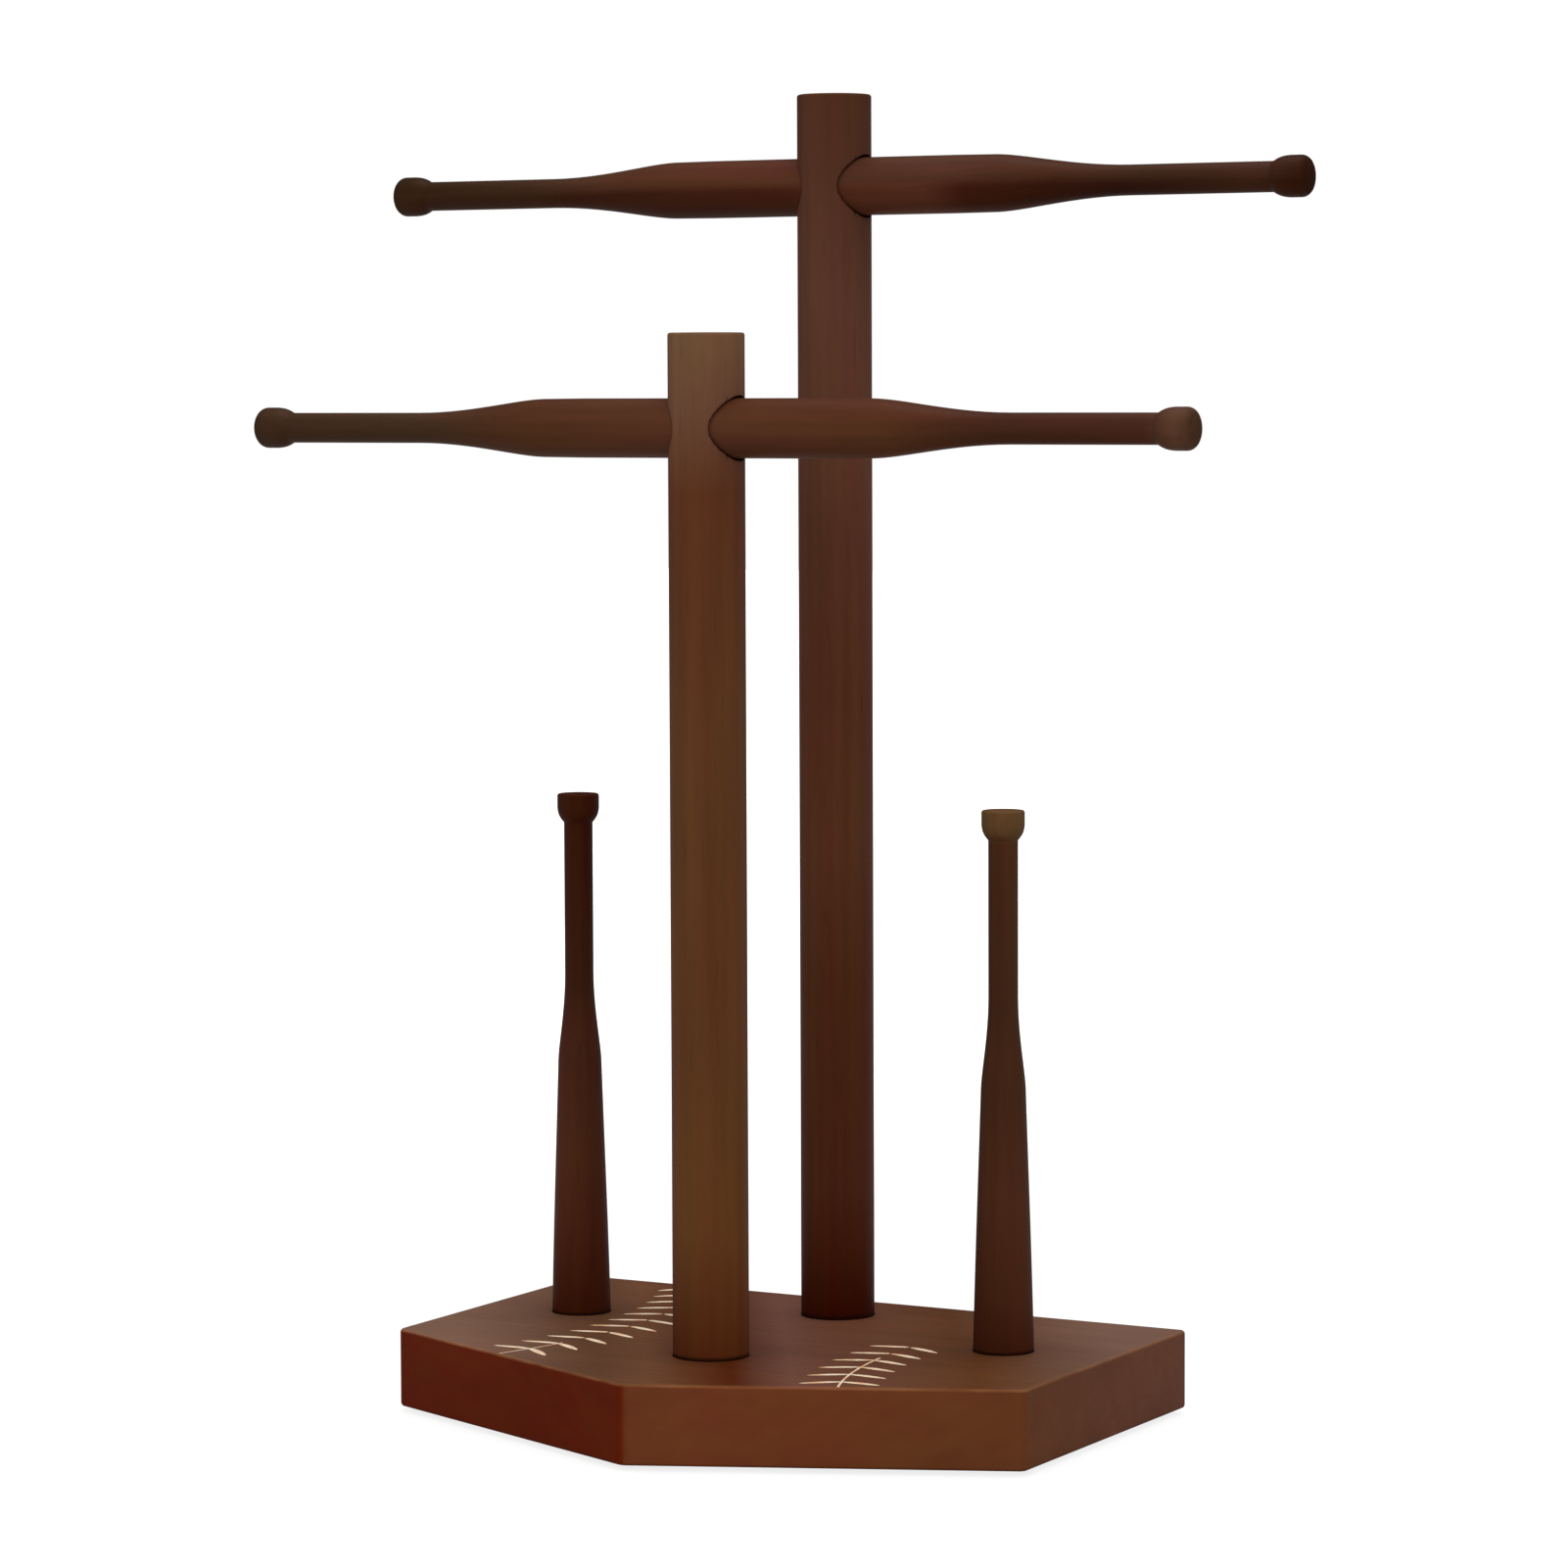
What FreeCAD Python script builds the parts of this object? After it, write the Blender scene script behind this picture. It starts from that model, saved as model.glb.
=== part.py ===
import FreeCAD, Part
import math
import os
from collections import namedtuple
from FreeCAD import Vector

# A wooden jewellery stand on a ball-game theme: a home-plate board with a baseball seam engraved
# in its top, two round posts of different height, a pair of turned bats held crosswise in each
# post to hang jewellery from, and two turned bats standing on the board to slip rings over.
#
# Millimetres. +X runs along the crosswise bats to the right, +Y from the board's point to its long
# rear edge, and +Z up. The origin is on the surface that the stand rests on, below the middle of
# the board.

# ---- Driving dimensions ----------------------------------------------------------------------

# Board, seen from above: a long rear edge, two parallel sides and a shallow point in front
BOARD_WIDTH = 134.0
BOARD_SIDE_LENGTH = 69.0
BOARD_POINT_DEPTH = 29.5
BOARD_THICKNESS = 15.0
BOARD_CORNER_RADIUS = 1.2
BOARD_EDGE_CHAMFER = 0.5

# Posts, on the board's centreline
POST_DIAMETER = 14.2
POST_EDGE_CHAMFER = 0.4
POST_RISE = 17.5              # from a post's crosswise bats up to its flat top
POST_SPACING = 49.5           # between the two posts' axes
TALL_POST_INSET = 16.0        # from the board's rear edge to the tall post's axis
TALL_BAT_HEIGHT = 217.5       # from the board's top to the axis of the upper pair of bats
SHORT_BAT_HEIGHT = 172.0      # from the board's top to the axis of the lower pair of bats

# Crosswise bats, measured from the post's axis outwards
BAT_REACH = 99.0              # to the end of the knob
BAT_BARREL_DIAMETER = 11.0
BAT_BARREL_LENGTH = 35.5
BAT_TAPER_LENGTH = 27.0
BAT_HANDLE_DIAMETER = 5.7
BAT_FLARE_LENGTH = 3.2
BAT_KNOB_DIAMETER = 7.75
BAT_KNOB_LENGTH = 4.8
BAT_KNOB_CHAMFER = 0.7
POST_WEB = 6.4                # wood left in the post between the seats of a pair of bats
BAT_SEAT_CLEARANCE = 0.3      # radial, round a bat's butt: the fine dark line at each joint
BAT_END_CLEARANCE = 0.05      # between a bat's butt end and the floor of its seat

# Ring bats, measured from the board's top upwards
RING_BAT_HEIGHT = 101.3
RING_BAT_SPREAD = 92.0        # between the two ring bats' axes
RING_BAT_INSET = 36.0         # from the board's rear edge to their axes
RING_BAT_BUTT_DIAMETER = 11.4     # at the board's top
RING_BAT_BARREL_DIAMETER = 8.4    # where the barrel ends and the taper starts
RING_BAT_BARREL_LENGTH = 49.5
RING_BAT_TAPER_LENGTH = 17.0
RING_BAT_HANDLE_DIAMETER = 5.4
RING_BAT_FLARE_LENGTH = 2.6
RING_BAT_KNOB_DIAMETER = 8.1
RING_BAT_KNOB_LENGTH = 3.4
RING_BAT_KNOB_CHAMFER = 0.5

# Where the lines of a barrel's shoulder and of the handle would cross, as a share of the taper
TAPER_TURN_SHARE = 0.7

# Sockets in the board's top
SOCKET_DEPTH = 7.0
SOCKET_CLEARANCE = 0.1        # radial
SOCKET_FLOOR_CLEARANCE = 0.05

# Dowel pins that join the two bats of a pair through the post's web
DOWEL_DIAMETER = 5.0
DOWEL_LENGTH = 30.0
DOWEL_CHAMFER = 0.6
DOWEL_CLEARANCE = 0.05        # radial
DOWEL_END_GAP = 0.25

# Countersunk wood screws from below
SCREW_DIAMETER = 3.5
SCREW_HEAD_DIAMETER = 7.0
SCREW_LENGTH = 25.0
SCREW_TIP_LENGTH = 4.0
SCREW_RECESS = 0.3            # how far the head lies below the board's underside
SCREW_CLEARANCE = 0.1         # radial, in the board and in the pilot bores
PILOT_END_GAP = 1.0
DRIVE_WIDTH = 0.9
DRIVE_SPAN = 3.6
DRIVE_DEPTH = 1.3

# Round pads under the board's five corners
PAD_DIAMETER = 10.0
PAD_THICKNESS = 1.0
PAD_INSET = 10.0              # from a side or the rear edge to a pad's axis
PAD_SHOULDER_SETBACK = 8.0    # how far the pads at the shoulders lie behind them
PAD_POINT_SETBACK = 14.0      # how far the front pad lies behind the point

# Baseball seam engraved in the board's top: two mirrored arcs crossed by pointed stitches
SEAM_RADIUS = 95.0
SEAM_OFFSET = 28.9            # from the board's centreline to the nearest point of each arc
SEAM_CENTRE_Y = 2.8
SEAM_WIDTH = 0.7
STITCH_PITCH = 7.4            # along the arc
STITCH_REACH = 7.4            # from the arc to a stitch's outer tip
STITCH_DROP = 2.4             # how far the tips lie nearer to the point than the stitch's middle
STITCH_WIDTH = 1.4
STITCH_ROOT = 0.2             # from the arc to a stitch's inner end, inside the seam's line
STITCH_ROOT_SHARE = 0.55      # its width there, as a share of its greatest width
STITCH_WIDEST_SHARE = 0.45    # where a stitch is widest, as a share of its length from the arc
STITCH_MARGIN = 0.5           # least wood between a stitch's tip and the board's edge
STITCH_SHORTENING = 0.25      # the step by which a leg near the edge is shortened, as a share
LEFT_STITCH_PHASE = 0.0       # where the first stitch stands, in pitches from the arc's middle
RIGHT_STITCH_PHASE = 0.7
RIGHT_STITCHES_END = 10.0     # the Y past which the right seam has none; the left's cross the board
LEFT_LINE_END = -18.0         # the Y at which each seam's own line stops
RIGHT_LINE_END = -4.0
ENGRAVING_DEPTH = 0.4

# ---- Places worked out from them -------------------------------------------------------------

UNDERSIDE_Z = PAD_THICKNESS
TOP_Z = UNDERSIDE_Z + BOARD_THICKNESS
SOCKET_FLOOR_Z = TOP_Z - SOCKET_DEPTH
BUTT_Z = SOCKET_FLOOR_Z + SOCKET_FLOOR_CLEARANCE
HALF_WIDTH = BOARD_WIDTH / 2
REAR_Y = (BOARD_SIDE_LENGTH + BOARD_POINT_DEPTH) / 2
POINT_Y = -REAR_Y
SHOULDER_Y = REAR_Y - BOARD_SIDE_LENGTH
TALL_POST_Y = REAR_Y - TALL_POST_INSET
SHORT_POST_Y = TALL_POST_Y - POST_SPACING
RING_BAT_X = RING_BAT_SPREAD / 2
RING_BAT_Y = REAR_Y - RING_BAT_INSET
UPPER_Z = TOP_Z + TALL_BAT_HEIGHT
LOWER_Z = TOP_Z + SHORT_BAT_HEIGHT
SCREW_HEAD_Z = UNDERSIDE_Z + SCREW_RECESS

BatSizes = namedtuple("BatSizes", "reach barrel barrel_length taper_length handle "
                                  "flare_length knob knob_length knob_chamfer")
CROSSWISE_BAT = BatSizes(BAT_REACH, BAT_BARREL_DIAMETER, BAT_BARREL_LENGTH, BAT_TAPER_LENGTH,
                         BAT_HANDLE_DIAMETER, BAT_FLARE_LENGTH, BAT_KNOB_DIAMETER,
                         BAT_KNOB_LENGTH, BAT_KNOB_CHAMFER)
RING_BAT = BatSizes(RING_BAT_HEIGHT, RING_BAT_BARREL_DIAMETER, RING_BAT_BARREL_LENGTH,
                    RING_BAT_TAPER_LENGTH, RING_BAT_HANDLE_DIAMETER, RING_BAT_FLARE_LENGTH,
                    RING_BAT_KNOB_DIAMETER, RING_BAT_KNOB_LENGTH, RING_BAT_KNOB_CHAMFER)

X_AXIS = Vector(1, 0, 0)
Z_AXIS = Vector(0, 0, 1)
CUT_OVERRUN = 1.0             # how far a cutting tool runs past the face that it enters by

ROUND_PLACES = {
    "tall_post": (0.0, TALL_POST_Y, POST_DIAMETER),
    "short_post": (0.0, SHORT_POST_Y, POST_DIAMETER),
    "left_ring_bat": (-RING_BAT_X, RING_BAT_Y, RING_BAT_BUTT_DIAMETER),
    "right_ring_bat": (RING_BAT_X, RING_BAT_Y, RING_BAT_BUTT_DIAMETER),
}

# Each seam as its side, its stitches' phase, and the Y at which its stitches and its line stop.
SEAMS = ((-1, LEFT_STITCH_PHASE, REAR_Y, LEFT_LINE_END),
         (1, RIGHT_STITCH_PHASE, RIGHT_STITCHES_END, RIGHT_LINE_END))


# ---- Turned shapes ---------------------------------------------------------------------------

def revolved(edges):
    """A solid turned about Z from a profile in the XZ plane that starts and ends on the axis."""
    face = Part.Face(Part.Wire(edges))
    return face.revolve(Vector(0, 0, 0), Z_AXIS, 360)


def line(start, end):
    return Part.makeLine(Vector(*start), Vector(*end))


def outline(points):
    """Straight edges from each point to the next."""
    return [line(start, end) for start, end in zip(points, points[1:])]


def swept_in(start, crossing, end):
    """A curve that leaves start and reaches end in the directions of the lines that cross."""
    curve = Part.BezierCurve()
    curve.setPoles([Vector(*start), Vector(*crossing), Vector(*end)])
    return curve.toShape()


def turned_bat(sizes, butt_edges):
    """A bat along +Z to the end of its knob, on a butt given by its profile from the axis out.

    The barrel runs straight from the butt, a hollow taper sweeps from its shoulder into the thin
    handle, and a short flare opens into the knob.
    """
    barrel_r, handle_r, knob_r = sizes.barrel / 2, sizes.handle / 2, sizes.knob / 2
    barrel_z = sizes.barrel_length
    turn_z = barrel_z + sizes.taper_length * TAPER_TURN_SHARE
    handle_z = barrel_z + sizes.taper_length
    knob_z = sizes.reach - sizes.knob_length
    flare_z = knob_z - sizes.flare_length
    butt = outline(butt_edges + [(barrel_r, 0, barrel_z)])
    taper = swept_in((barrel_r, 0, barrel_z), (handle_r, 0, turn_z), (handle_r, 0, handle_z))
    tip = outline([
        (handle_r, 0, handle_z),
        (handle_r, 0, flare_z),
        (knob_r, 0, knob_z),
        (knob_r, 0, sizes.reach - sizes.knob_chamfer),
        (knob_r - sizes.knob_chamfer, 0, sizes.reach),
        (0, 0, sizes.reach),
        butt_edges[0],
    ])
    return revolved(butt + [taper] + tip)


def rod(diameter, start, direction, length):
    return Part.makeCylinder(diameter / 2, length, start, direction)


def circular_edges(shape):
    return [edge for edge in shape.Edges if isinstance(edge.Curve, Part.Circle)]


# ---- Posts and crosswise bats ----------------------------------------------------------------

def pilot_bore(x, y):
    """The bore in a post's or ring bat's foot for the screw that holds it down."""
    depth = SCREW_HEAD_Z + SCREW_LENGTH + PILOT_END_GAP - BUTT_Z
    start = Vector(x, y, BUTT_Z - CUT_OVERRUN)
    return rod(SCREW_DIAMETER + 2 * SCREW_CLEARANCE, start, Z_AXIS, depth + CUT_OVERRUN)


def make_post(y, bat_z):
    """A round post with a seat bored from each side for a pair of bats, joined by a dowel bore."""
    top_z = bat_z + POST_RISE
    post = rod(POST_DIAMETER, Vector(0, y, BUTT_Z), Z_AXIS, top_z - BUTT_Z)
    post = post.makeChamfer(POST_EDGE_CHAMFER, circular_edges(post))
    for side in (-1, 1):
        seat_start = Vector(side * POST_WEB / 2, y, bat_z)
        seat = rod(BAT_BARREL_DIAMETER + 2 * BAT_SEAT_CLEARANCE, seat_start, X_AXIS * side,
                   POST_DIAMETER)
        post = post.cut(seat)
    dowel_bore = rod(DOWEL_DIAMETER + 2 * DOWEL_CLEARANCE,
                     Vector(-POST_DIAMETER / 2, y, bat_z), X_AXIS, POST_DIAMETER)
    return post.cut(dowel_bore).cut(pilot_bore(0, y))


def make_crosswise_bat(side, y, bat_z):
    """One bat of a pair, its butt in the post's seat and a bore in it for half of the dowel."""
    butt_z = POST_WEB / 2 + BAT_END_CLEARANCE
    bat = turned_bat(CROSSWISE_BAT, [(0, 0, butt_z), (BAT_BARREL_DIAMETER / 2, 0, butt_z)])
    bore = rod(DOWEL_DIAMETER + 2 * DOWEL_CLEARANCE, Vector(0, 0, 0), Z_AXIS,
               DOWEL_LENGTH / 2 + DOWEL_END_GAP)
    bat = bat.cut(bore)
    bat.rotate(Vector(0, 0, 0), Vector(0, 1, 0), 90 * side)
    bat.translate(Vector(0, y, bat_z))
    return bat


def make_joining_dowel(y, bat_z):
    """A chamfered dowel pin through a post's web, half in each bat of the pair."""
    pin = rod(DOWEL_DIAMETER, Vector(-DOWEL_LENGTH / 2, y, bat_z), X_AXIS, DOWEL_LENGTH)
    return pin.makeChamfer(DOWEL_CHAMFER, circular_edges(pin))


# ---- Ring bats -------------------------------------------------------------------------------

def make_ring_bat(side):
    """A bat that stands in a socket of the board, with a pilot bore in its foot."""
    x = side * RING_BAT_X
    foot_z = BUTT_Z - TOP_Z
    foot_r = RING_BAT_BUTT_DIAMETER / 2
    bat = turned_bat(RING_BAT, [(0, 0, foot_z), (foot_r, 0, foot_z), (foot_r, 0, 0)])
    bat.translate(Vector(x, RING_BAT_Y, TOP_Z))
    return bat.cut(pilot_bore(x, RING_BAT_Y))


# ---- Board -----------------------------------------------------------------------------------

def board_corners():
    """The board's five corners as seen from above, counter-clockwise from the point."""
    return [(0.0, POINT_Y), (HALF_WIDTH, SHOULDER_Y), (HALF_WIDTH, REAR_Y),
            (-HALF_WIDTH, REAR_Y), (-HALF_WIDTH, SHOULDER_Y)]


def make_blank():
    """The plain board with its corners and edges eased."""
    corners = [Vector(x, y, UNDERSIDE_Z) for x, y in board_corners()]
    outline = Part.makePolygon(corners + corners[:1])
    blank = Part.Face(outline).extrude(Vector(0, 0, BOARD_THICKNESS))
    upright = [edge for edge in blank.Edges if edge.BoundBox.ZLength > BOARD_THICKNESS / 2]
    blank = blank.makeFillet(BOARD_CORNER_RADIUS, upright)
    level = [edge for edge in blank.Edges if edge.BoundBox.ZLength < BOARD_THICKNESS / 2]
    return blank.makeChamfer(BOARD_EDGE_CHAMFER, level)


def screw_hole(x, y):
    """The hole and countersink for a screw that enters the board from below."""
    radius = SCREW_DIAMETER / 2 + SCREW_CLEARANCE
    head_radius = SCREW_HEAD_DIAMETER / 2 + SCREW_CLEARANCE
    cone_height = head_radius - radius
    through = Part.makeCylinder(radius, BOARD_THICKNESS, Vector(x, y, UNDERSIDE_Z))
    mouth = Part.makeCylinder(head_radius, SCREW_RECESS + CUT_OVERRUN,
                              Vector(x, y, UNDERSIDE_Z - CUT_OVERRUN))
    cone = Part.makeCone(head_radius, radius, cone_height, Vector(x, y, SCREW_HEAD_Z))
    return [through, mouth, cone]


def inside_board(x, y, margin):
    """Whether a point of the top lies on the board, at least margin from its edge."""
    corners = board_corners()
    for (ax, ay), (bx, by) in zip(corners, corners[1:] + corners[:1]):
        length = math.hypot(bx - ax, by - ay)
        distance = ((bx - ax) * (y - ay) - (by - ay) * (x - ax)) / length
        if distance < margin:
            return False
    return True


def stitch_leg(side, angle, leg, share):
    """The outline of half a stitch: a thin leaf from the seam to its tip, as five points.

    side is 1 for the right seam, angle says where on the arc it is, from the arc's point nearest
    to the centreline towards the rear, leg is 1 for the half on the outer side of the arc, and
    share is how much of the full length it has.
    """
    centre_x = SEAM_OFFSET + SEAM_RADIUS
    outward = (math.cos(angle), -math.sin(angle))
    rearward = (math.sin(angle), math.cos(angle))

    def place(across, along):
        x = centre_x + (across - SEAM_RADIUS) * outward[0] + along * rearward[0]
        y = SEAM_CENTRE_Y + (across - SEAM_RADIUS) * outward[1] + along * rearward[1]
        return (side * x, y)

    start = STITCH_ROOT * leg
    tip = start + (STITCH_REACH * leg - start) * share
    widest = start + (tip - start) * STITCH_WIDEST_SHARE
    drop = STITCH_DROP * share * STITCH_WIDEST_SHARE
    root = STITCH_WIDTH * STITCH_ROOT_SHARE
    return [place(start, -root / 2), place(widest, -drop - STITCH_WIDTH / 2),
            place(tip, -STITCH_DROP * share), place(widest, -drop + STITCH_WIDTH / 2),
            place(start, root / 2)]


def longest_leg(side, angle, leg):
    """The longest stitch half that lies whole on the board there, or None."""
    share = 1.0
    while share > 0:
        points = stitch_leg(side, angle, leg, share)
        if all(inside_board(x, y, STITCH_MARGIN) for x, y in points):
            return points
        share -= STITCH_SHORTENING
    return None


def stitches():
    """The outlines of all the stitches' halves, left out where either half finds no room."""
    step = STITCH_PITCH / SEAM_RADIUS
    reach = int(BOARD_SIDE_LENGTH / STITCH_PITCH)
    outlines = []
    for side, phase, end_y, _ in SEAMS:
        for number in range(-reach, reach):
            angle = (number + phase) * step
            legs = [longest_leg(side, angle, leg) for leg in (-1, 1)]
            if all(legs) and SEAM_CENTRE_Y + SEAM_RADIUS * math.sin(angle) < end_y:
                outlines.extend(legs)
    return outlines


def engraved_leaf(points):
    """A shallow cutter with a four-sided outline, reaching from just above the top into it."""
    floor = [Vector(x, y, TOP_Z - ENGRAVING_DEPTH) for x, y in points]
    return Part.Face(Part.makePolygon(floor + floor[:1])).extrude(Z_AXIS * (ENGRAVING_DEPTH + CUT_OVERRUN))


def seam_groove(side, end_y):
    """The thin arc-shaped groove of one seam, from the board's front edge to a given Y."""
    centre = Vector(side * (SEAM_OFFSET + SEAM_RADIUS), SEAM_CENTRE_Y, TOP_Z - ENGRAVING_DEPTH)
    height = ENGRAVING_DEPTH + CUT_OVERRUN
    outer = Part.makeCylinder(SEAM_RADIUS + SEAM_WIDTH / 2, height, centre)
    ring = outer.cut(Part.makeCylinder(SEAM_RADIUS - SEAM_WIDTH / 2, height, centre))
    corner = Vector(-BOARD_WIDTH, end_y, centre.z)
    beyond = Part.makeBox(BOARD_WIDTH * 2, SEAM_RADIUS * 2, height, corner)
    return ring.cut(beyond)


def make_board():
    """The home-plate board with its sockets, screw holes and engraved seams."""
    cutters = []
    for x, y, diameter in ROUND_PLACES.values():
        radius = diameter / 2 + SOCKET_CLEARANCE
        floor = Vector(x, y, SOCKET_FLOOR_Z)
        cutters.append(Part.makeCylinder(radius, SOCKET_DEPTH + CUT_OVERRUN, floor))
        cutters.extend(screw_hole(x, y))
    cutters.extend(seam_groove(side, line_end) for side, _, _, line_end in SEAMS)
    cutters.extend(engraved_leaf(points) for points in stitches())
    board = make_blank()
    for cutter in cutters:
        board = board.cut(cutter)
    return board


# ---- Screws and pads -------------------------------------------------------------------------

def make_screw(x, y):
    """A countersunk wood screw pointing up, with a cross recess in its head."""
    radius = SCREW_DIAMETER / 2
    head_radius = SCREW_HEAD_DIAMETER / 2
    cone_height = head_radius - radius
    shank_z = SCREW_HEAD_Z + SCREW_LENGTH - SCREW_TIP_LENGTH
    edges = [
        line((0, 0, SCREW_HEAD_Z), (head_radius, 0, SCREW_HEAD_Z)),
        line((head_radius, 0, SCREW_HEAD_Z), (radius, 0, SCREW_HEAD_Z + cone_height)),
        line((radius, 0, SCREW_HEAD_Z + cone_height), (radius, 0, shank_z)),
        line((radius, 0, shank_z), (0, 0, shank_z + SCREW_TIP_LENGTH)),
        line((0, 0, shank_z + SCREW_TIP_LENGTH), (0, 0, SCREW_HEAD_Z)),
    ]
    screw = revolved(edges)
    for width, depth in ((DRIVE_SPAN, DRIVE_WIDTH), (DRIVE_WIDTH, DRIVE_SPAN)):
        corner = Vector(-width / 2, -depth / 2, SCREW_HEAD_Z - CUT_OVERRUN)
        screw = screw.cut(Part.makeBox(width, depth, DRIVE_DEPTH + CUT_OVERRUN, corner))
    screw.translate(Vector(x, y, 0))
    return screw


def pad_places():
    """Where the pads are: two at the rear, two inside the shoulders and one behind the point."""
    side_x = HALF_WIDTH - PAD_INSET
    rear_y = REAR_Y - PAD_INSET
    shoulder_y = SHOULDER_Y + PAD_SHOULDER_SETBACK
    return {
        "rear_left_pad": (-side_x, rear_y),
        "rear_right_pad": (side_x, rear_y),
        "left_shoulder_pad": (-side_x, shoulder_y),
        "right_shoulder_pad": (side_x, shoulder_y),
        "point_pad": (0.0, POINT_Y + PAD_POINT_SETBACK),
    }


def make_pad(x, y):
    return Part.makeCylinder(PAD_DIAMETER / 2, PAD_THICKNESS, Vector(x, y, 0))


# ---- The whole stand -------------------------------------------------------------------------

def make_stand():
    """Every piece by its name."""
    pieces = {
        "base_board": make_board(),
        "tall_post": make_post(TALL_POST_Y, UPPER_Z),
        "short_post": make_post(SHORT_POST_Y, LOWER_Z),
    }
    for tier, y, bat_z in (("upper", TALL_POST_Y, UPPER_Z), ("lower", SHORT_POST_Y, LOWER_Z)):
        pieces[tier + "_left_bat"] = make_crosswise_bat(-1, y, bat_z)
        pieces[tier + "_right_bat"] = make_crosswise_bat(1, y, bat_z)
        pieces[tier + "_joining_dowel"] = make_joining_dowel(y, bat_z)
    pieces["left_ring_bat"] = make_ring_bat(-1)
    pieces["right_ring_bat"] = make_ring_bat(1)
    for name, (x, y, _) in ROUND_PLACES.items():
        pieces[name + "_screw"] = make_screw(x, y)
    for name, (x, y) in pad_places().items():
        pieces[name] = make_pad(x, y)
    return pieces


def main():
    os.makedirs("parts", exist_ok=True)
    for name, shape in make_stand().items():
        shape.exportStep(os.path.join("parts", name + ".step"))
        print(name, "valid" if shape.isValid() else "NOT VALID", len(shape.Solids), round(shape.Volume, 1))


main()
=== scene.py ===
"""Dresses a wooden jewellery stand: a home-plate board with two posts, turned bats and a seam.

Everything is in metres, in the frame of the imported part: +X along the crosswise bats to the
right, +Y from the board's point to its rear edge, +Z up, and the resting face at z = 0.
"""
import logging
import math
from collections.abc import Callable, Iterator, Sequence
from contextlib import contextmanager
from dataclasses import dataclass, field, replace
from enum import Enum

import bmesh
import bpy
from mathutils import Matrix, Vector


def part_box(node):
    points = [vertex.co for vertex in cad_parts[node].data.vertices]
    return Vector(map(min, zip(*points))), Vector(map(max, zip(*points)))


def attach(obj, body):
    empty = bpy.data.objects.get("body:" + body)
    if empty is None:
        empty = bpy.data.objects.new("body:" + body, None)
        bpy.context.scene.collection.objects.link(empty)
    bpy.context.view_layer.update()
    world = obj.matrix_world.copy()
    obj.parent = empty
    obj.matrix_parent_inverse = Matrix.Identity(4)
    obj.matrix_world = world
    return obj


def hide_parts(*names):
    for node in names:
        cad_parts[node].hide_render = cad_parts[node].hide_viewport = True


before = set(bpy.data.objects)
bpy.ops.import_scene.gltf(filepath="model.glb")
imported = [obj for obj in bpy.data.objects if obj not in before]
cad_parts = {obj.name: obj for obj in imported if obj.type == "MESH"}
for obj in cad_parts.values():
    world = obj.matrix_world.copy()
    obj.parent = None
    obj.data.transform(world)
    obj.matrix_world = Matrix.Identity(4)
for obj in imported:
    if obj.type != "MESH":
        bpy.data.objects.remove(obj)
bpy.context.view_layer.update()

Thing = bpy.types.Object
Finish = bpy.types.Material
Tree = bpy.types.NodeTree
Socket = bpy.types.NodeSocket
Station = tuple[float, float]

LOG = logging.getLogger("jewellery_stand")
BODY = "root"
MM = 0.001
TINY = 1e-5                          # shorter than any edge of the stand
AROUND = 96                          # the sides of a turned piece
SMOOTH_UNDER = math.radians(32)      # flatter edges than this are shaded smooth
WAVE_PERIOD = math.pi / 10           # one wave of the wave texture at a scale of 1
NOISE_SPAN = (0.33, 0.67)            # what a noise texture's values usually lie between
BAND_SHIFT, HUE_SHIFT, WEAR_AND_HIGHLIGHT_SHIFT = 3.7, 5.2, 8.1    # what moves the wood's patterns apart
# How much an upper edge pales, as scuffing and as a painted highlight, by how far up it
# faces: not on a side and not on a top.
EDGE_WEAR_AND_HIGHLIGHT = ((0.1, "#000000"), (0.4, "#ffffff"), (0.8, "#ffffff"), (0.96, "#000000"))
PILOT_RADIUS = 1.85 * MM             # the hole for a screw in a foot, and in the board
PILOT_HEIGHT = 18.3 * MM
DOWEL_HOLE_RADIUS = 2.55 * MM


class Direction(Enum):
    """The way that the grain of a piece of wood runs."""

    ALONG_X = 0
    ALONG_Z = 2


class Side(Enum):
    """The left or the right half of the stand, by the sign of X."""

    LEFT = -1
    RIGHT = 1


# ---- Working with meshes ---------------------------------------------------------------------


def pick(*pieces: Thing) -> None:
    """Selects these objects alone, the last of them active."""
    bpy.ops.object.select_all(action="DESELECT")
    for piece in pieces:
        piece.select_set(True)
        bpy.context.view_layer.objects.active = piece


@contextmanager
def editing(piece: Thing) -> Iterator[None]:
    """Puts one object, alone and with nothing selected in it, into edit mode for a while.

    Args:
        piece: The object to edit.
    """
    pick(piece)
    bpy.ops.object.mode_set(mode="EDIT")
    bpy.ops.mesh.select_all(action="DESELECT")
    yield
    bpy.ops.object.mode_set(mode="OBJECT")


def newest(name: str) -> Thing:
    """Names the object that an operator has just added, and its mesh.

    Args:
        name: The name.
    Returns:
        The object.
    """
    piece = bpy.context.active_object
    piece.name = piece.data.name = name
    return piece


def settle() -> None:
    """Takes the picked object's place, turn and size into its mesh."""
    bpy.ops.object.transform_apply(location=True, rotation=True, scale=True)


def face_outwards() -> None:
    """Turns every face of the mesh in edit mode outwards."""
    bpy.ops.mesh.select_all(action="SELECT")
    bpy.ops.mesh.normals_make_consistent(inside=False)


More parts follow.
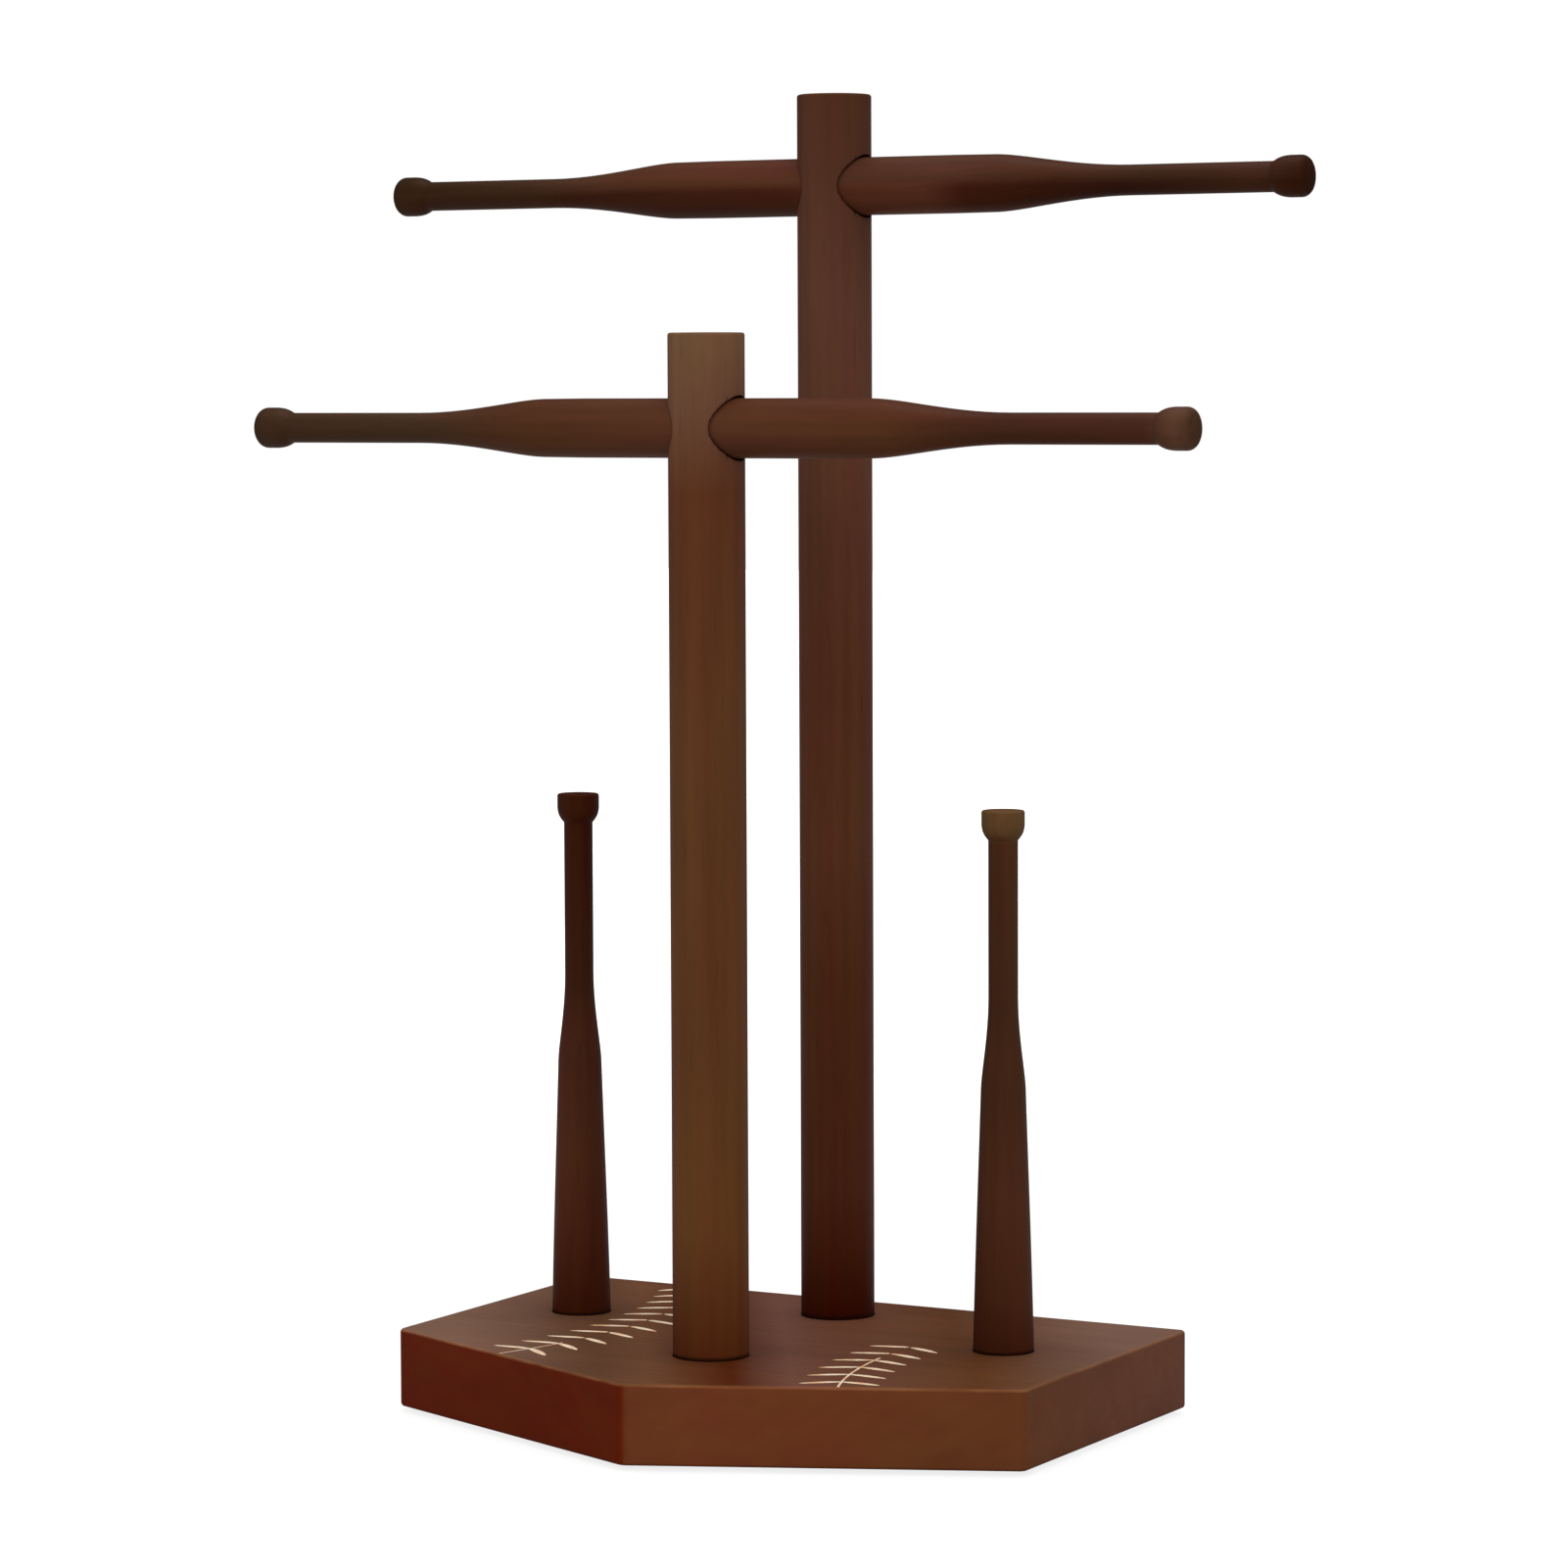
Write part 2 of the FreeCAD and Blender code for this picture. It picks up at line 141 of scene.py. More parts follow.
def select_where(piece: Thing, wanted: Callable[[Vector, Vector], bool],
                 faces: bool = False) -> None:
    """Selects, in edit mode, the edges or the faces that pass a test.

    Args:
        piece: The object in edit mode.
        wanted: Takes an edge's two ends, or a face's middle and normal, and says if it is meant.
        faces: Whether faces are meant, and not edges.
    """
    bpy.ops.mesh.select_mode(type="FACE" if faces else "EDGE")
    mesh = bmesh.from_edit_mesh(piece.data)
    for part in mesh.faces if faces else mesh.edges:
        points = ((part.calc_center_median(), part.normal) if faces
                  else (part.verts[0].co, part.verts[1].co))
        part.select_set(wanted(*points))
    bmesh.update_edit_mesh(piece.data)


def finish_with(piece: Thing, kind: str, **settings: object) -> None:
    """Gives a piece a modifier and applies it.

    Args:
        piece: The piece.
        kind: The modifier's Blender type.
        settings: Its settings by name.
    """
    pick(piece)
    bpy.ops.object.modifier_add(type=kind)
    modifier = piece.modifiers[-1]
    for name, value in settings.items():
        setattr(modifier, name, value)
    bpy.ops.object.modifier_apply(modifier=modifier.name)


def turn(name: str, stations: Sequence[Station], around: int = AROUND) -> Thing:
    """A closed turned piece about the Z axis, drawn out ring by ring from a flat start.

    Args:
        name: The piece's name.
        stations: Radius and height of each ring in turn, from the first flat face to the last.
        around: How many sides each ring has.
    Returns:
        The piece, with its axis on the world's Z axis.
    """
    radius, height = stations[0]
    bpy.ops.mesh.primitive_circle_add(vertices=around, radius=radius, fill_type="NGON",
                                      location=(0, 0, height))
    piece = newest(name)
    settle()
    with editing(piece):
        bpy.ops.mesh.select_all(action="SELECT")
        for next_radius, next_height in stations[1:]:
            bpy.ops.mesh.extrude_region_move(
                TRANSFORM_OT_translate={"value": (0, 0, next_height - height)})
            ratio = next_radius / radius
            if abs(ratio - 1) > TINY:
                bpy.ops.transform.resize(value=(ratio, ratio, 1), center_override=(0, 0, 0))
            radius, height = next_radius, next_height
        face_outwards()
    return piece


def curve(points: Sequence[Station], steps: int) -> list[Station]:
    """A curve from the first of some points to the last that is led by those between.

    Args:
        points: Four for a smooth bow, or three for a quarter round that eases the second one.
        steps: How many stations it has.
    Returns:
        The stations after the first point.
    """
    stations = []
    for number in range(1, steps + 1):
        t = number / steps
        if len(points) == 3:
            along, across = math.sin(t * math.pi / 2), 1 - math.cos(t * math.pi / 2)
            stations.append(tuple(start + (corner - start) * along + (end - corner) * across
                                  for start, corner, end in zip(*points)))
        else:
            shares = ((1 - t) ** 3, 3 * t * (1 - t) ** 2, 3 * t * t * (1 - t), t ** 3)
            stations.append(tuple(sum(share * part for share, part in zip(shares, parts))
                                  for parts in zip(*points)))
    return stations


def lay(piece: Thing, place: Vector, turned: float = 0, about: str = "Z") -> None:
    """Turns a piece about an axis of the world and moves it, in its mesh.

    Args:
        piece: The piece, built about the world's origin.
        place: Where its origin goes.
        turned: The angle in radians.
        about: The axis it is turned about.
    """
    pick(piece)
    piece.matrix_world = Matrix.Translation(place) @ Matrix.Rotation(turned, 4, about)
    settle()


def cut_away(piece: Thing, cutters: Sequence[Thing]) -> None:
    """Cuts shapes out of a piece.

    Args:
        piece: The piece.
        cutters: The shapes, which are used up.
    """
    pick(*cutters)
    if len(cutters) > 1:
        bpy.ops.object.join()
    cutter = bpy.context.active_object
    finish_with(piece, "BOOLEAN", operation="DIFFERENCE", solver="EXACT", use_self=True,
                object=cutter)
    pick(cutter)
    bpy.ops.object.delete()


def smooth(piece: Thing) -> None:
    """Shades a piece smooth apart from its sharp edges, with flat faces kept flat to the eye.

    Args:
        piece: The piece.
    """
    pick(piece)
    bpy.ops.object.shade_smooth_by_angle(angle=SMOOTH_UNDER, keep_sharp_edges=False)
    finish_with(piece, "WEIGHTED_NORMAL", keep_sharp=True, weight=100)


# ---- Tying pieces to the frame ---------------------------------------------------------------


def middle(node: str, height: float | None = None) -> Vector:
    """The middle of a CAD solid's box.

    Args:
        node: The solid's node.
        height: A height that takes the place of the middle's own.
    Returns:
        The point.
    """
    low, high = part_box(node)
    centre = (low + high) / 2
    return centre if height is None else Vector((centre.x, centre.y, height))


def dress(piece: Thing, material: Finish, node: str | None = None) -> None:
    """Gives a finished piece its material and ties it to the frame.

    Args:
        piece: The finished piece, in place.
        material: Its material.
        node: The CAD node that it stands for, if it does.
    """
    piece.data.materials.clear()
    piece.data.materials.append(material)
    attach(piece, BODY)
    if node:
        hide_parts(node)
    LOG.info("%s: %d faces", piece.name, len(piece.data.polygons))


def set_out(pattern: Thing, slot: str, copies: Sequence[tuple[str, Finish, Vector, float]],
            about: str = "Z") -> None:
    """Smooths a pattern and lays a dressed copy of it, with its own mesh, in every place.

    Args:
        pattern: What is copied, built about the world's origin, and used up.
        slot: A name for the finish, whose first word starts the copies' names.
        copies: Each copy's CAD node, its material, where its origin goes and how far it is turned.
        about: The axis they are turned about.
    """
    smooth(pattern)
    for node, material, place, turned in copies:
        pick(pattern)
        bpy.ops.object.duplicate(linked=False)
        piece = newest(f"{slot.split('_')[0]}_{node}")
        lay(piece, place, turned, about)
        dress(piece, material, node)
    pick(pattern)
    bpy.ops.object.delete()


# ---- Materials -------------------------------------------------------------------------------


def linear(colour: str) -> tuple[float, float, float, float]:
    """Turns a colour from sRGB to the linear values of a shader.

    Args:
        colour: The sRGB colour, such as #5a3422.
    Returns:
        Red, green, blue and a full alpha.
    """
    parts = [int(colour[place:place + 2], 16) / 255 for place in (1, 3, 5)]
    red, green, blue = [part / 12.92 if part <= 0.04045 else ((part + 0.055) / 1.055) ** 2.4
                        for part in parts]
    return red, green, blue, 1.0


def connect(node: bpy.types.Node, inputs: dict[str | int, object]) -> None:
    """Sets a node's inputs.

    Args:
        node: The node.
        inputs: What each input gets, by its name or number: a value, or an output that feeds it.
    """
    for name, given in inputs.items():
        socket = next(one for number, one in enumerate(node.inputs)
                      if number == name or one.name == name and one.enabled)
        if isinstance(given, Socket):
            node.id_data.links.new(given, socket)
        else:
            socket.default_value = given


def add_node(tree: Tree, kind: str, inputs: dict[str | int, object] | None = None,
             output: str | int | None = None, stops: Sequence[tuple[float, str]] = (),
             **settings: object) -> Socket | None:
    """Adds one node with its settings and its links.

    Args:
        tree: The tree it goes in.
        kind: Its Blender type without the leading ShaderNode.
        inputs: What its inputs get, by their names or numbers: values, or outputs that feed them.
        output: Which output is wanted, if it is not the first that is in use.
        stops: Places and hex colours in the order of its colour ramp, if it has one.
        settings: Its own settings by name.
    Returns:
        The output, if it has one.
    """
    node = tree.nodes.new("ShaderNode" + kind)
    for name, value in settings.items():
        setattr(node, name, value)
    connect(node, inputs or {})
    if stops:
        bar = node.color_ramp
        while len(bar.elements) < len(stops):
            bar.elements.new(1)
        for element, (place, colour) in zip(bar.elements, stops):
            element.position = place
            element.color = linear(colour)
    if output is not None:
        return node.outputs[output]
    return next((socket for socket in node.outputs if socket.enabled), None)


def fresh_material(name: str) -> tuple[Finish, Tree, bpy.types.Node]:
    """Makes a new material.

    Args:
        name: Its name.
    Returns:
        The material, its node tree and its surface shader.
    """
    material = bpy.data.materials.new(name)
    material.use_nodes = True
    return material, material.node_tree, material.node_tree.nodes["Principled BSDF"]


@dataclass(frozen=True)
class StainedWood:
    """Beech, turned or sawn and sanded, under a walnut stain and a thin satin lacquer.

    The stain took a little unevenly, which gives the eye slow clouds, long bands between olive
    and red brown, and a tone that drifts along each piece. Where given so, that tone also holds
    painted light and shade: a painted shadow at a foot, painted shade towards a foot or below a
    middle, and a painted sheen on a top. Below them run faint growth rings, streaks and short dark
    pores along the grain, and the end grain drank more stain. The lacquer gives a broad soft sheen,
    and, where it is asked for, upper edges let the paler wood through, as scuffing and as a painted
    highlight. Real pores of beech are under 0.1 mm wide, too fine to show, so they and the streaks
    are drawn coarser.
    """

    name: str
    grain: Direction
    tones: tuple[tuple[float, str], ...]            # at millimetres along the way or the grain
    way: tuple[float, float, float] | None = None
    top_tones: tuple[tuple[float, str], ...] = ()   # above the height where they set in
    top_mm: tuple[float, float] = (15.5, 16.0)
    top_way: tuple[float, float, float] = (1.0, 0.0, 0.0)
    cloud_mm: float = 24.0
    cloud_shrink: float = 2.5
    band_mm: float = 4.5
    ring_mm: float = 2.4
    streak_mm: float = 1.4
    pore_mm: float = 0.5
    wear_and_highlight_mm: float = 7.0
    pith_mm: tuple[float, float, float] = (31.0, -26.0, 22.0)
    shrink: float = 16.0
    cloud_depth: float = 0.07
    band_depth: float = 0.07
    ring_depth: float = 0.03
    ring_waver: float = 2.0
    streak_depth: float = 0.04
    pore_depth: float = 0.14
    pore_span: tuple[float, float] = (0.62, 0.78)
    pore_tone: str = "#5a3a2a"
    end_depth: float = 0.05
    end_span: tuple[float, float] = (0.7, 0.95)     # how squarely a face cuts the grain
    end_roughness: float = 0.9
    hue_drift: float = 0.006
    roughness: float = 0.5
    roughness_drift: float = 0.04
    specular: float = 0.07
    amber: str = "#ffb184"
    relief: float = 0.08
    relief_mm: float = 0.1
    # The paler tone that upper edges show as scuffing and as a painted highlight, how much of it,
    # and from what height.
    worn_and_highlit_tone: str = "#b07a50"
    wear_and_highlight: float = 0.0
    wear_and_highlight_from_mm: tuple[float, float] = (13.5, 13.7)
    seed: float = 0.0

    def noise(self, tree: Tree, size_mm: float, shrink: float, detail: float,
              shift: float = 0) -> Socket:
        """A cloudy pattern with lumps of a real size, shrink times as long along the grain."""
        place = self.drawn_out(tree, shrink, (self.seed + shift, self.seed, shift))
        return add_node(tree, "TexNoise", {"Vector": place, "Scale": 1 / (size_mm * MM),
                                           "Detail": detail})

    def drawn_out(self, tree: Tree, shrink: float, moved: Sequence[float]) -> Socket:
        """The coordinates of a pattern that is longer along the grain.

        Args:
            tree: The material's node tree.
            shrink: How much longer than wide it is.
            moved: How far it is moved.
        Returns:
            The coordinates.
        """
        scale = Vector((1, 1, 1))
        scale[self.grain.value] = 1 / shrink
        place = add_node(tree, "TexCoord", output="Object")
        return add_node(tree, "Mapping", {"Vector": place, "Scale": scale, "Location": moved})

    def between(self, tree: Tree, source: Socket, low: float, high: float) -> Socket:
        """Stretches a noise's usual span over the span from a low to a high value."""
        return add_node(tree, "MapRange", {"Value": source, "From Min": NOISE_SPAN[0],
                                           "From Max": NOISE_SPAN[1], "To Min": low,
                                           "To Max": high})

    def above(self, tree: Tree, low_mm: float, high_mm: float) -> Socket:
        """A share that grows softly from nothing at the low height to all at the high one."""
        height = add_node(tree, "SeparateXYZ",
                          {"Vector": add_node(tree, "TexCoord", output="Object")}, 2)
        return add_node(tree, "MapRange", {"Value": height, "From Min": low_mm * MM,
                                           "From Max": high_mm * MM},
                        interpolation_type="SMOOTHSTEP")

    def drifting(self, tree: Tree, way: Sequence[float],
                 tones: tuple[tuple[float, str], ...]) -> Socket:
        """A colour that passes through some tones along a direction.

        Args:
            tree: The material's node tree.
            way: The direction.
            tones: Millimetres along the direction, each with its hex colour.
        Returns:
            The colour.
        """
        first, last = tones[0][0], tones[-1][0]
        place = add_node(tree, "TexCoord", output="Object")
        along = add_node(tree, "VectorMath", {0: place, 1: way}, operation="DOT_PRODUCT")
        share = add_node(tree, "MapRange", {"Value": along, "From Min": first * MM,
                                            "From Max": last * MM})
        return add_node(tree, "ValToRGB", {"Fac": share}, stops=[
            ((spot - first) / (last - first), colour) for spot, colour in tones])

    def tone(self, tree: Tree) -> Socket:
        """The stain's own tone, before the patterns, with any painted light and shade that the
        given tones hold.

        Args:
            tree: The material's node tree.
        Returns:
            The colour.
        """
        along = Vector((0, 0, 0))
        along[self.grain.value] = 1
        tones = self.drifting(tree, self.way or along, self.tones)
        if not self.top_tones:
            return tones
        return add_node(tree, "Mix", {
            "Factor": self.above(tree, *self.top_mm), "A": tones,
            "B": self.drifting(tree, self.top_way, self.top_tones)}, data_type="RGBA")

    def worn_and_highlit_edges(self, tree: Tree, normal: Socket, stained: Socket) -> Socket:
        """Pales upper edges in places where they curve over, as scuffing and a painted highlight.

        Args:
            tree: The material's node tree.
            normal: The surface's direction.
            stained: The colour without the paler edges.
        Returns:
            The colour with the paler edges, both scuffed and painted as a highlight.
        """
        upward = add_node(tree, "SeparateXYZ", {"Vector": normal}, 2)
        edge = add_node(tree, "ValToRGB", {"Fac": upward}, stops=EDGE_WEAR_AND_HIGHLIGHT)
        rubbed_and_lit = self.between(tree, self.noise(tree, self.wear_and_highlight_mm, 1, 1, WEAR_AND_HIGHLIGHT_SHIFT),
                              self.wear_and_highlight / 4, self.wear_and_highlight)
        amount = self.above(tree, *self.wear_and_highlight_from_mm)
        for factor in (edge, rubbed_and_lit):
            amount = add_node(tree, "Math", {0: amount, 1: factor}, operation="MULTIPLY")
        return add_node(tree, "Mix", {"Factor": amount, "A": stained, "B": linear(self.worn_and_highlit_tone)},
                        data_type="RGBA")

    def material(self) -> Finish:
        """Builds the finish as a Blender material."""
        material, tree, surface = fresh_material(self.name)
        bands = self.noise(tree, self.band_mm, self.shrink, 1, BAND_SHIFT)
        streaks = self.noise(tree, self.streak_mm, self.shrink, 3)
        pores = self.noise(tree, self.pore_mm, self.shrink, 1)
        # End grain is where a face cuts across the grain.
        normal = add_node(tree, "NewGeometry", output="Normal")
        facing = add_node(tree, "SeparateXYZ", {"Vector": normal}, self.grain.value)
        across = add_node(tree, "Math", {0: facing}, operation="ABSOLUTE")
        ends = add_node(tree, "MapRange", {"Value": across, "From Min": self.end_span[0],
                                           "From Max": self.end_span[1]},
                        interpolation_type="SMOOTHSTEP")
        # Growth rings lie round a pith beside the piece, so they are arcs on the end grain.
        rings = add_node(
            tree, "TexWave", {
                "Vector": self.drawn_out(tree, self.shrink, Vector(self.pith_mm) * MM),
                "Scale": WAVE_PERIOD / (self.ring_mm * MM), "Distortion": self.ring_waver,
                "Detail": 1},
            "Fac", wave_type="RINGS", rings_direction="XYZ"[self.grain.value])
        value = add_node(tree, "MapRange", {"Value": rings, "To Min": 1 - self.ring_depth,
                                            "To Max": 1 + self.ring_depth})
        factors = [add_node(tree, "MapRange", {"Value": ends, "To Min": 1.0,
                                               "To Max": 1 - self.end_depth})]
        clouds = self.noise(tree, self.cloud_mm, self.cloud_shrink, 2)
        for pattern, depth in ((clouds, self.cloud_depth), (bands, self.band_depth),
                               (streaks, self.streak_depth)):
            factors.append(self.between(tree, pattern, 1 - depth, 1 + depth))
        for factor in factors:
            value = add_node(tree, "Math", {0: value, 1: factor}, operation="MULTIPLY")
        hue = self.between(tree, self.noise(tree, self.band_mm, self.shrink, 1, HUE_SHIFT),
                           0.5 - self.hue_drift, 0.5 + self.hue_drift)
        stained = add_node(tree, "HueSaturation", {"Hue": hue, "Value": value,
                                                   "Color": self.tone(tree)})
        dark = add_node(tree, "MapRange", {"Value": pores, "From Min": self.pore_span[0],
                                           "From Max": self.pore_span[1],
                                           "To Max": self.pore_depth})
        colour = add_node(tree, "Mix", {"Factor": dark, "A": stained, "B": linear(self.pore_tone)},
                          data_type="RGBA", blend_type="MULTIPLY")
        # Paler upper edges: scuffing, and a painted highlight.
        if self.wear_and_highlight:
            colour = self.worn_and_highlit_edges(tree, normal, colour)
        sheen = self.between(tree, streaks, self.roughness - self.roughness_drift,
                             self.roughness + self.roughness_drift)
        connect(surface, {
            "Base Color": colour,
            "Roughness": add_node(tree, "Mix", {"Factor": ends, "A": sheen,
                                                "B": self.end_roughness}),
            "Specular IOR Level": self.specular, "Specular Tint": linear(self.amber),
            "Normal": add_node(tree, "Bump", {"Height": pores, "Strength": self.relief,
                                              "Distance": self.relief_mm * MM})})
        return material


@dataclass(frozen=True)
class MottledFinish:
    """A plain finish that plays between two near tones in a fine pattern of a real size."""

    name: str
    tones: tuple[tuple[float, str], tuple[float, str]]
    lump_mm: float
    roughness: float
    dull_roughness: float | None = None      # where the first tone is, if it is not as glossy
    detail: float = 2.0
    shrink: float = 1.0
    metallic: float = 0.0
    relief: float = 0.0
    relief_mm: float = 0.0

    def material(self) -> Finish:
        """Builds the finish as a Blender material."""
        material, tree, surface = fresh_material(self.name)
        place = add_node(tree, "Mapping", {"Vector": add_node(tree, "TexCoord", output="Object"),
                                           "Scale": (1 / self.shrink, 1, 1)})
        lumps = add_node(tree, "TexNoise", {"Vector": place, "Scale": 1 / (self.lump_mm * MM),
                                            "Detail": self.detail})
        connect(surface, {
            "Base Color": add_node(tree, "ValToRGB", {"Fac": lumps}, stops=self.tones),
            "Roughness": self.roughness, "Metallic": self.metallic})
        if self.dull_roughness:
            connect(surface, {"Roughness": add_node(tree, "MapRange", {
                "Value": lumps, "To Min": self.dull_roughness, "To Max": self.roughness})})
        if self.relief:
            connect(surface, {"Normal": add_node(tree, "Bump", {
                "Height": lumps, "Strength": self.relief, "Distance": self.relief_mm * MM})})
        return material


# ---- Board and seams -------------------------------------------------------------------------


@dataclass(frozen=True)
class Half:
    """One half of a stitch, which points away from the seam's own line."""

    angle: float                     # where on the arc the stitch stands
    leg: int                         # 1 for the arc's outer side, -1 for the inner one
    length: float = 1.0              # how much of its full length it has


@dataclass
class Seam:
    """One arc of the ball's seam in the board's top, crossed by pointed stitches."""

    side: Side
    phase: float                     # how far the stitches are moved, as a share of the pitch
    end_y: float                     # where the stitches stop, and then where the line does
    line_end_y: float
    half_width: float                # the board's own sizes
    rear_y: float
    shoulder_y: float
    top_z: float
    radius: float = 95.0 * MM
    offset: float = 28.9 * MM
    centre_y: float = 2.8 * MM
    line_width: float = 0.5 * MM
    pitch: float = 7.4 * MM
    reach: float = 7.4 * MM
    drop: float = 2.4 * MM
    width: float = 1.7 * MM
    root: float = 0.2 * MM
    root_share: float = 0.55
    widest_share: float = 0.45
    margin: float = 0.5 * MM
    shortening: float = 0.25         # what a half without room loses at a time
    hook: float = 1.3                # more than 1 bends a half forwards towards its tip
    blunt: float = 1.5               # more makes its tip fuller
    depth: float = 0.4 * MM
    overrun: float = 1.0 * MM
    paint_gap: float = 0.02 * MM
    crown: float = 0.08 * MM
    leaf_sides: int = 24
    arc_steps: int = 32

    def spot(self, angle: float, across: float, along: float) -> Vector:
        """A point on the board, told from the arc.

        Args:
            angle: A place on the arc.
            across: How far the point lies outwards from there.
            along: How far it lies rearwards.
        Returns:
            The point at height 0.
        """
        reach = across - self.radius
        x = self.offset + self.radius + reach * math.cos(angle) + along * math.sin(angle)
        y = self.centre_y - reach * math.sin(angle) + along * math.cos(angle)
        return Vector((self.side.value * x, y, 0))

    def on_board(self, point: Vector) -> bool:
        """Says if a point lies on the board, clear of its edge.

        Args:
            point: The point.
        Returns:
            Whether it does.
        """
        slope = (self.rear_y + self.shoulder_y) / self.half_width
        room = (point.y - abs(point.x) * slope + self.rear_y) / math.hypot(1, slope)
        return min(room, self.half_width - abs(point.x), self.rear_y - point.y) > self.margin

    def outline(self, half: Half, share: float, swell: float) -> Vector:
        """A point of the outline of a stitch's half.

        Args:
            half: The half.
            share: How far along the half the point lies.
            swell: How far it lies to the rear of the half's middle line.
        Returns:
            The point at height 0.
        """
        start = self.root * half.leg
        across = start + (self.reach * half.leg - start) * half.length * share
        return self.spot(half.angle, across, swell - self.drop * half.length * share ** self.hook)

    def fitted(self, half: Half) -> Half | None:
        """Shortens a stitch's half until it lies on the board.

        Args:
            half: The half at its full length.
        Returns:
            The shortened half, or nothing if it finds no room.
        """
        while half.length > 0:
            sides = [self.outline(half, self.widest_share, way * self.width / 2)
                     for way in (-1, 1)]
            if all(map(self.on_board, [*sides, self.outline(half, 1, 0)])):
                return half
            half = replace(half, length=half.length - self.shortening)
        return None

    def halves(self) -> list[Half]:
        """Both halves of every stitch that finds room for them."""
        step = self.pitch / self.radius
        count = int(self.rear_y / self.pitch) + 3
        halves = []
        for number in range(-count, count):
            angle = (number + self.phase) * step
            pair = [self.fitted(Half(angle, leg)) for leg in (-1, 1)]
            if all(pair) and self.spot(angle, 0, 0).y < self.end_y:
                halves.extend(pair)
        return halves

    def leaf(self, half: Half, shrink: float) -> Thing:
        """The flat outline of one half of a stitch.

        Args:
            half: The half.
            shrink: How much smaller it is all round than the engraving.
        Returns:
            A filled leaf at height 0.
        """
        bpy.ops.mesh.primitive_circle_add(vertices=self.leaf_sides, radius=1, fill_type="NGON")
        piece = newest("leaf")
        for vertex in piece.data.vertices:
            share = min(max((1 - vertex.co.x) / 2, 0), 1)
            if share < self.widest_share:
                rise = math.sin(share / self.widest_share * math.pi / 2)
                swell = self.root_share + (1 - self.root_share) * rise
            else:
                fall = (share - self.widest_share) / (1 - self.widest_share)
                swell = math.sqrt(max(1 - fall ** self.blunt, 0))
            swell *= self.width / 2 - shrink
            if abs(vertex.co.y) < TINY:
                swell = 0.0
            vertex.co = self.outline(half, share, math.copysign(swell, vertex.co.y))
        return piece

    def line(self, width: float) -> Thing:
        """The seam's own line, from near the front edge to where it is set to end.

        Args:
            width: How wide it is.
        Returns:
            A flat strip at height 0.
        """
        last = math.asin((self.line_end_y - self.centre_y) / self.radius)
        first = -self.rear_y / self.radius
        while not self.on_board(self.spot(first, 0, 0)):
            first += TINY / self.radius
        bpy.ops.mesh.primitive_plane_add(size=width)
        piece = newest("line")
        step = (last - first) / self.arc_steps
        far = self.spot(first + step, 0, 0)
        for vertex in piece.data.vertices:
            angle = first if vertex.co.y < 0 else first + step
            vertex.co = self.spot(angle, vertex.co.x, 0)
        with editing(piece):
            select_where(piece, lambda a, b: max((a - far).length, (b - far).length) < width)
            bpy.ops.mesh.spin(steps=self.arc_steps - 1, center=self.spot(0, self.radius, 0),
                              angle=(last - first - step) * self.side.value, axis=(0, 0, 1))
        return piece

    def blocks(self, shrink: float, floor_z: float, height: float) -> list[Thing]:
        """Low blocks in the shape of all the stitches' halves and, as the last one, the line.

        Args:
            shrink: How much smaller they are all round than the engraving.
            floor_z: The height they stand at.
            height: How high they are.
        Returns:
            The blocks.
        """
        blocks = [self.leaf(half, shrink) for half in self.halves()]
        blocks.append(self.line(self.line_width - 2 * shrink))
        for block in blocks:
            with editing(block):
                bpy.ops.mesh.select_all(action="SELECT")
                bpy.ops.mesh.remove_doubles(threshold=TINY)
                bpy.ops.mesh.select_all(action="SELECT")
                bpy.ops.transform.translate(value=(0, 0, floor_z))
                bpy.ops.mesh.extrude_region_move(TRANSFORM_OT_translate={"value": (0, 0, height)})
                face_outwards()
        return blocks

    def cutters(self) -> list[Thing]:
        """The blocks that engrave the line and the stitches into the board."""
        return self.blocks(0, self.top_z - self.depth, self.depth + self.overrun)

    def paint(self, material: Finish) -> None:
        """Builds and dresses the paint that fills the engraving, with crowned stitches.

        Args:
            material: The paint's material.
        """
        floor_z = self.top_z - self.depth + self.paint_gap
        height = self.depth - 2 * self.paint_gap
        blocks = self.blocks(self.paint_gap, floor_z, height)
        for leaf in blocks[:-1]:
            with editing(leaf):
                select_where(leaf, lambda centre, normal: centre.z > floor_z + height / 2
                             and normal.z > 0.5, faces=True)
                bpy.ops.mesh.poke(offset=self.crown)
        pick(*blocks)
        bpy.ops.object.join()
        piece = newest(f"{self.side.name.lower()}_seam_paint")
        smooth(piece)
        dress(piece, material)


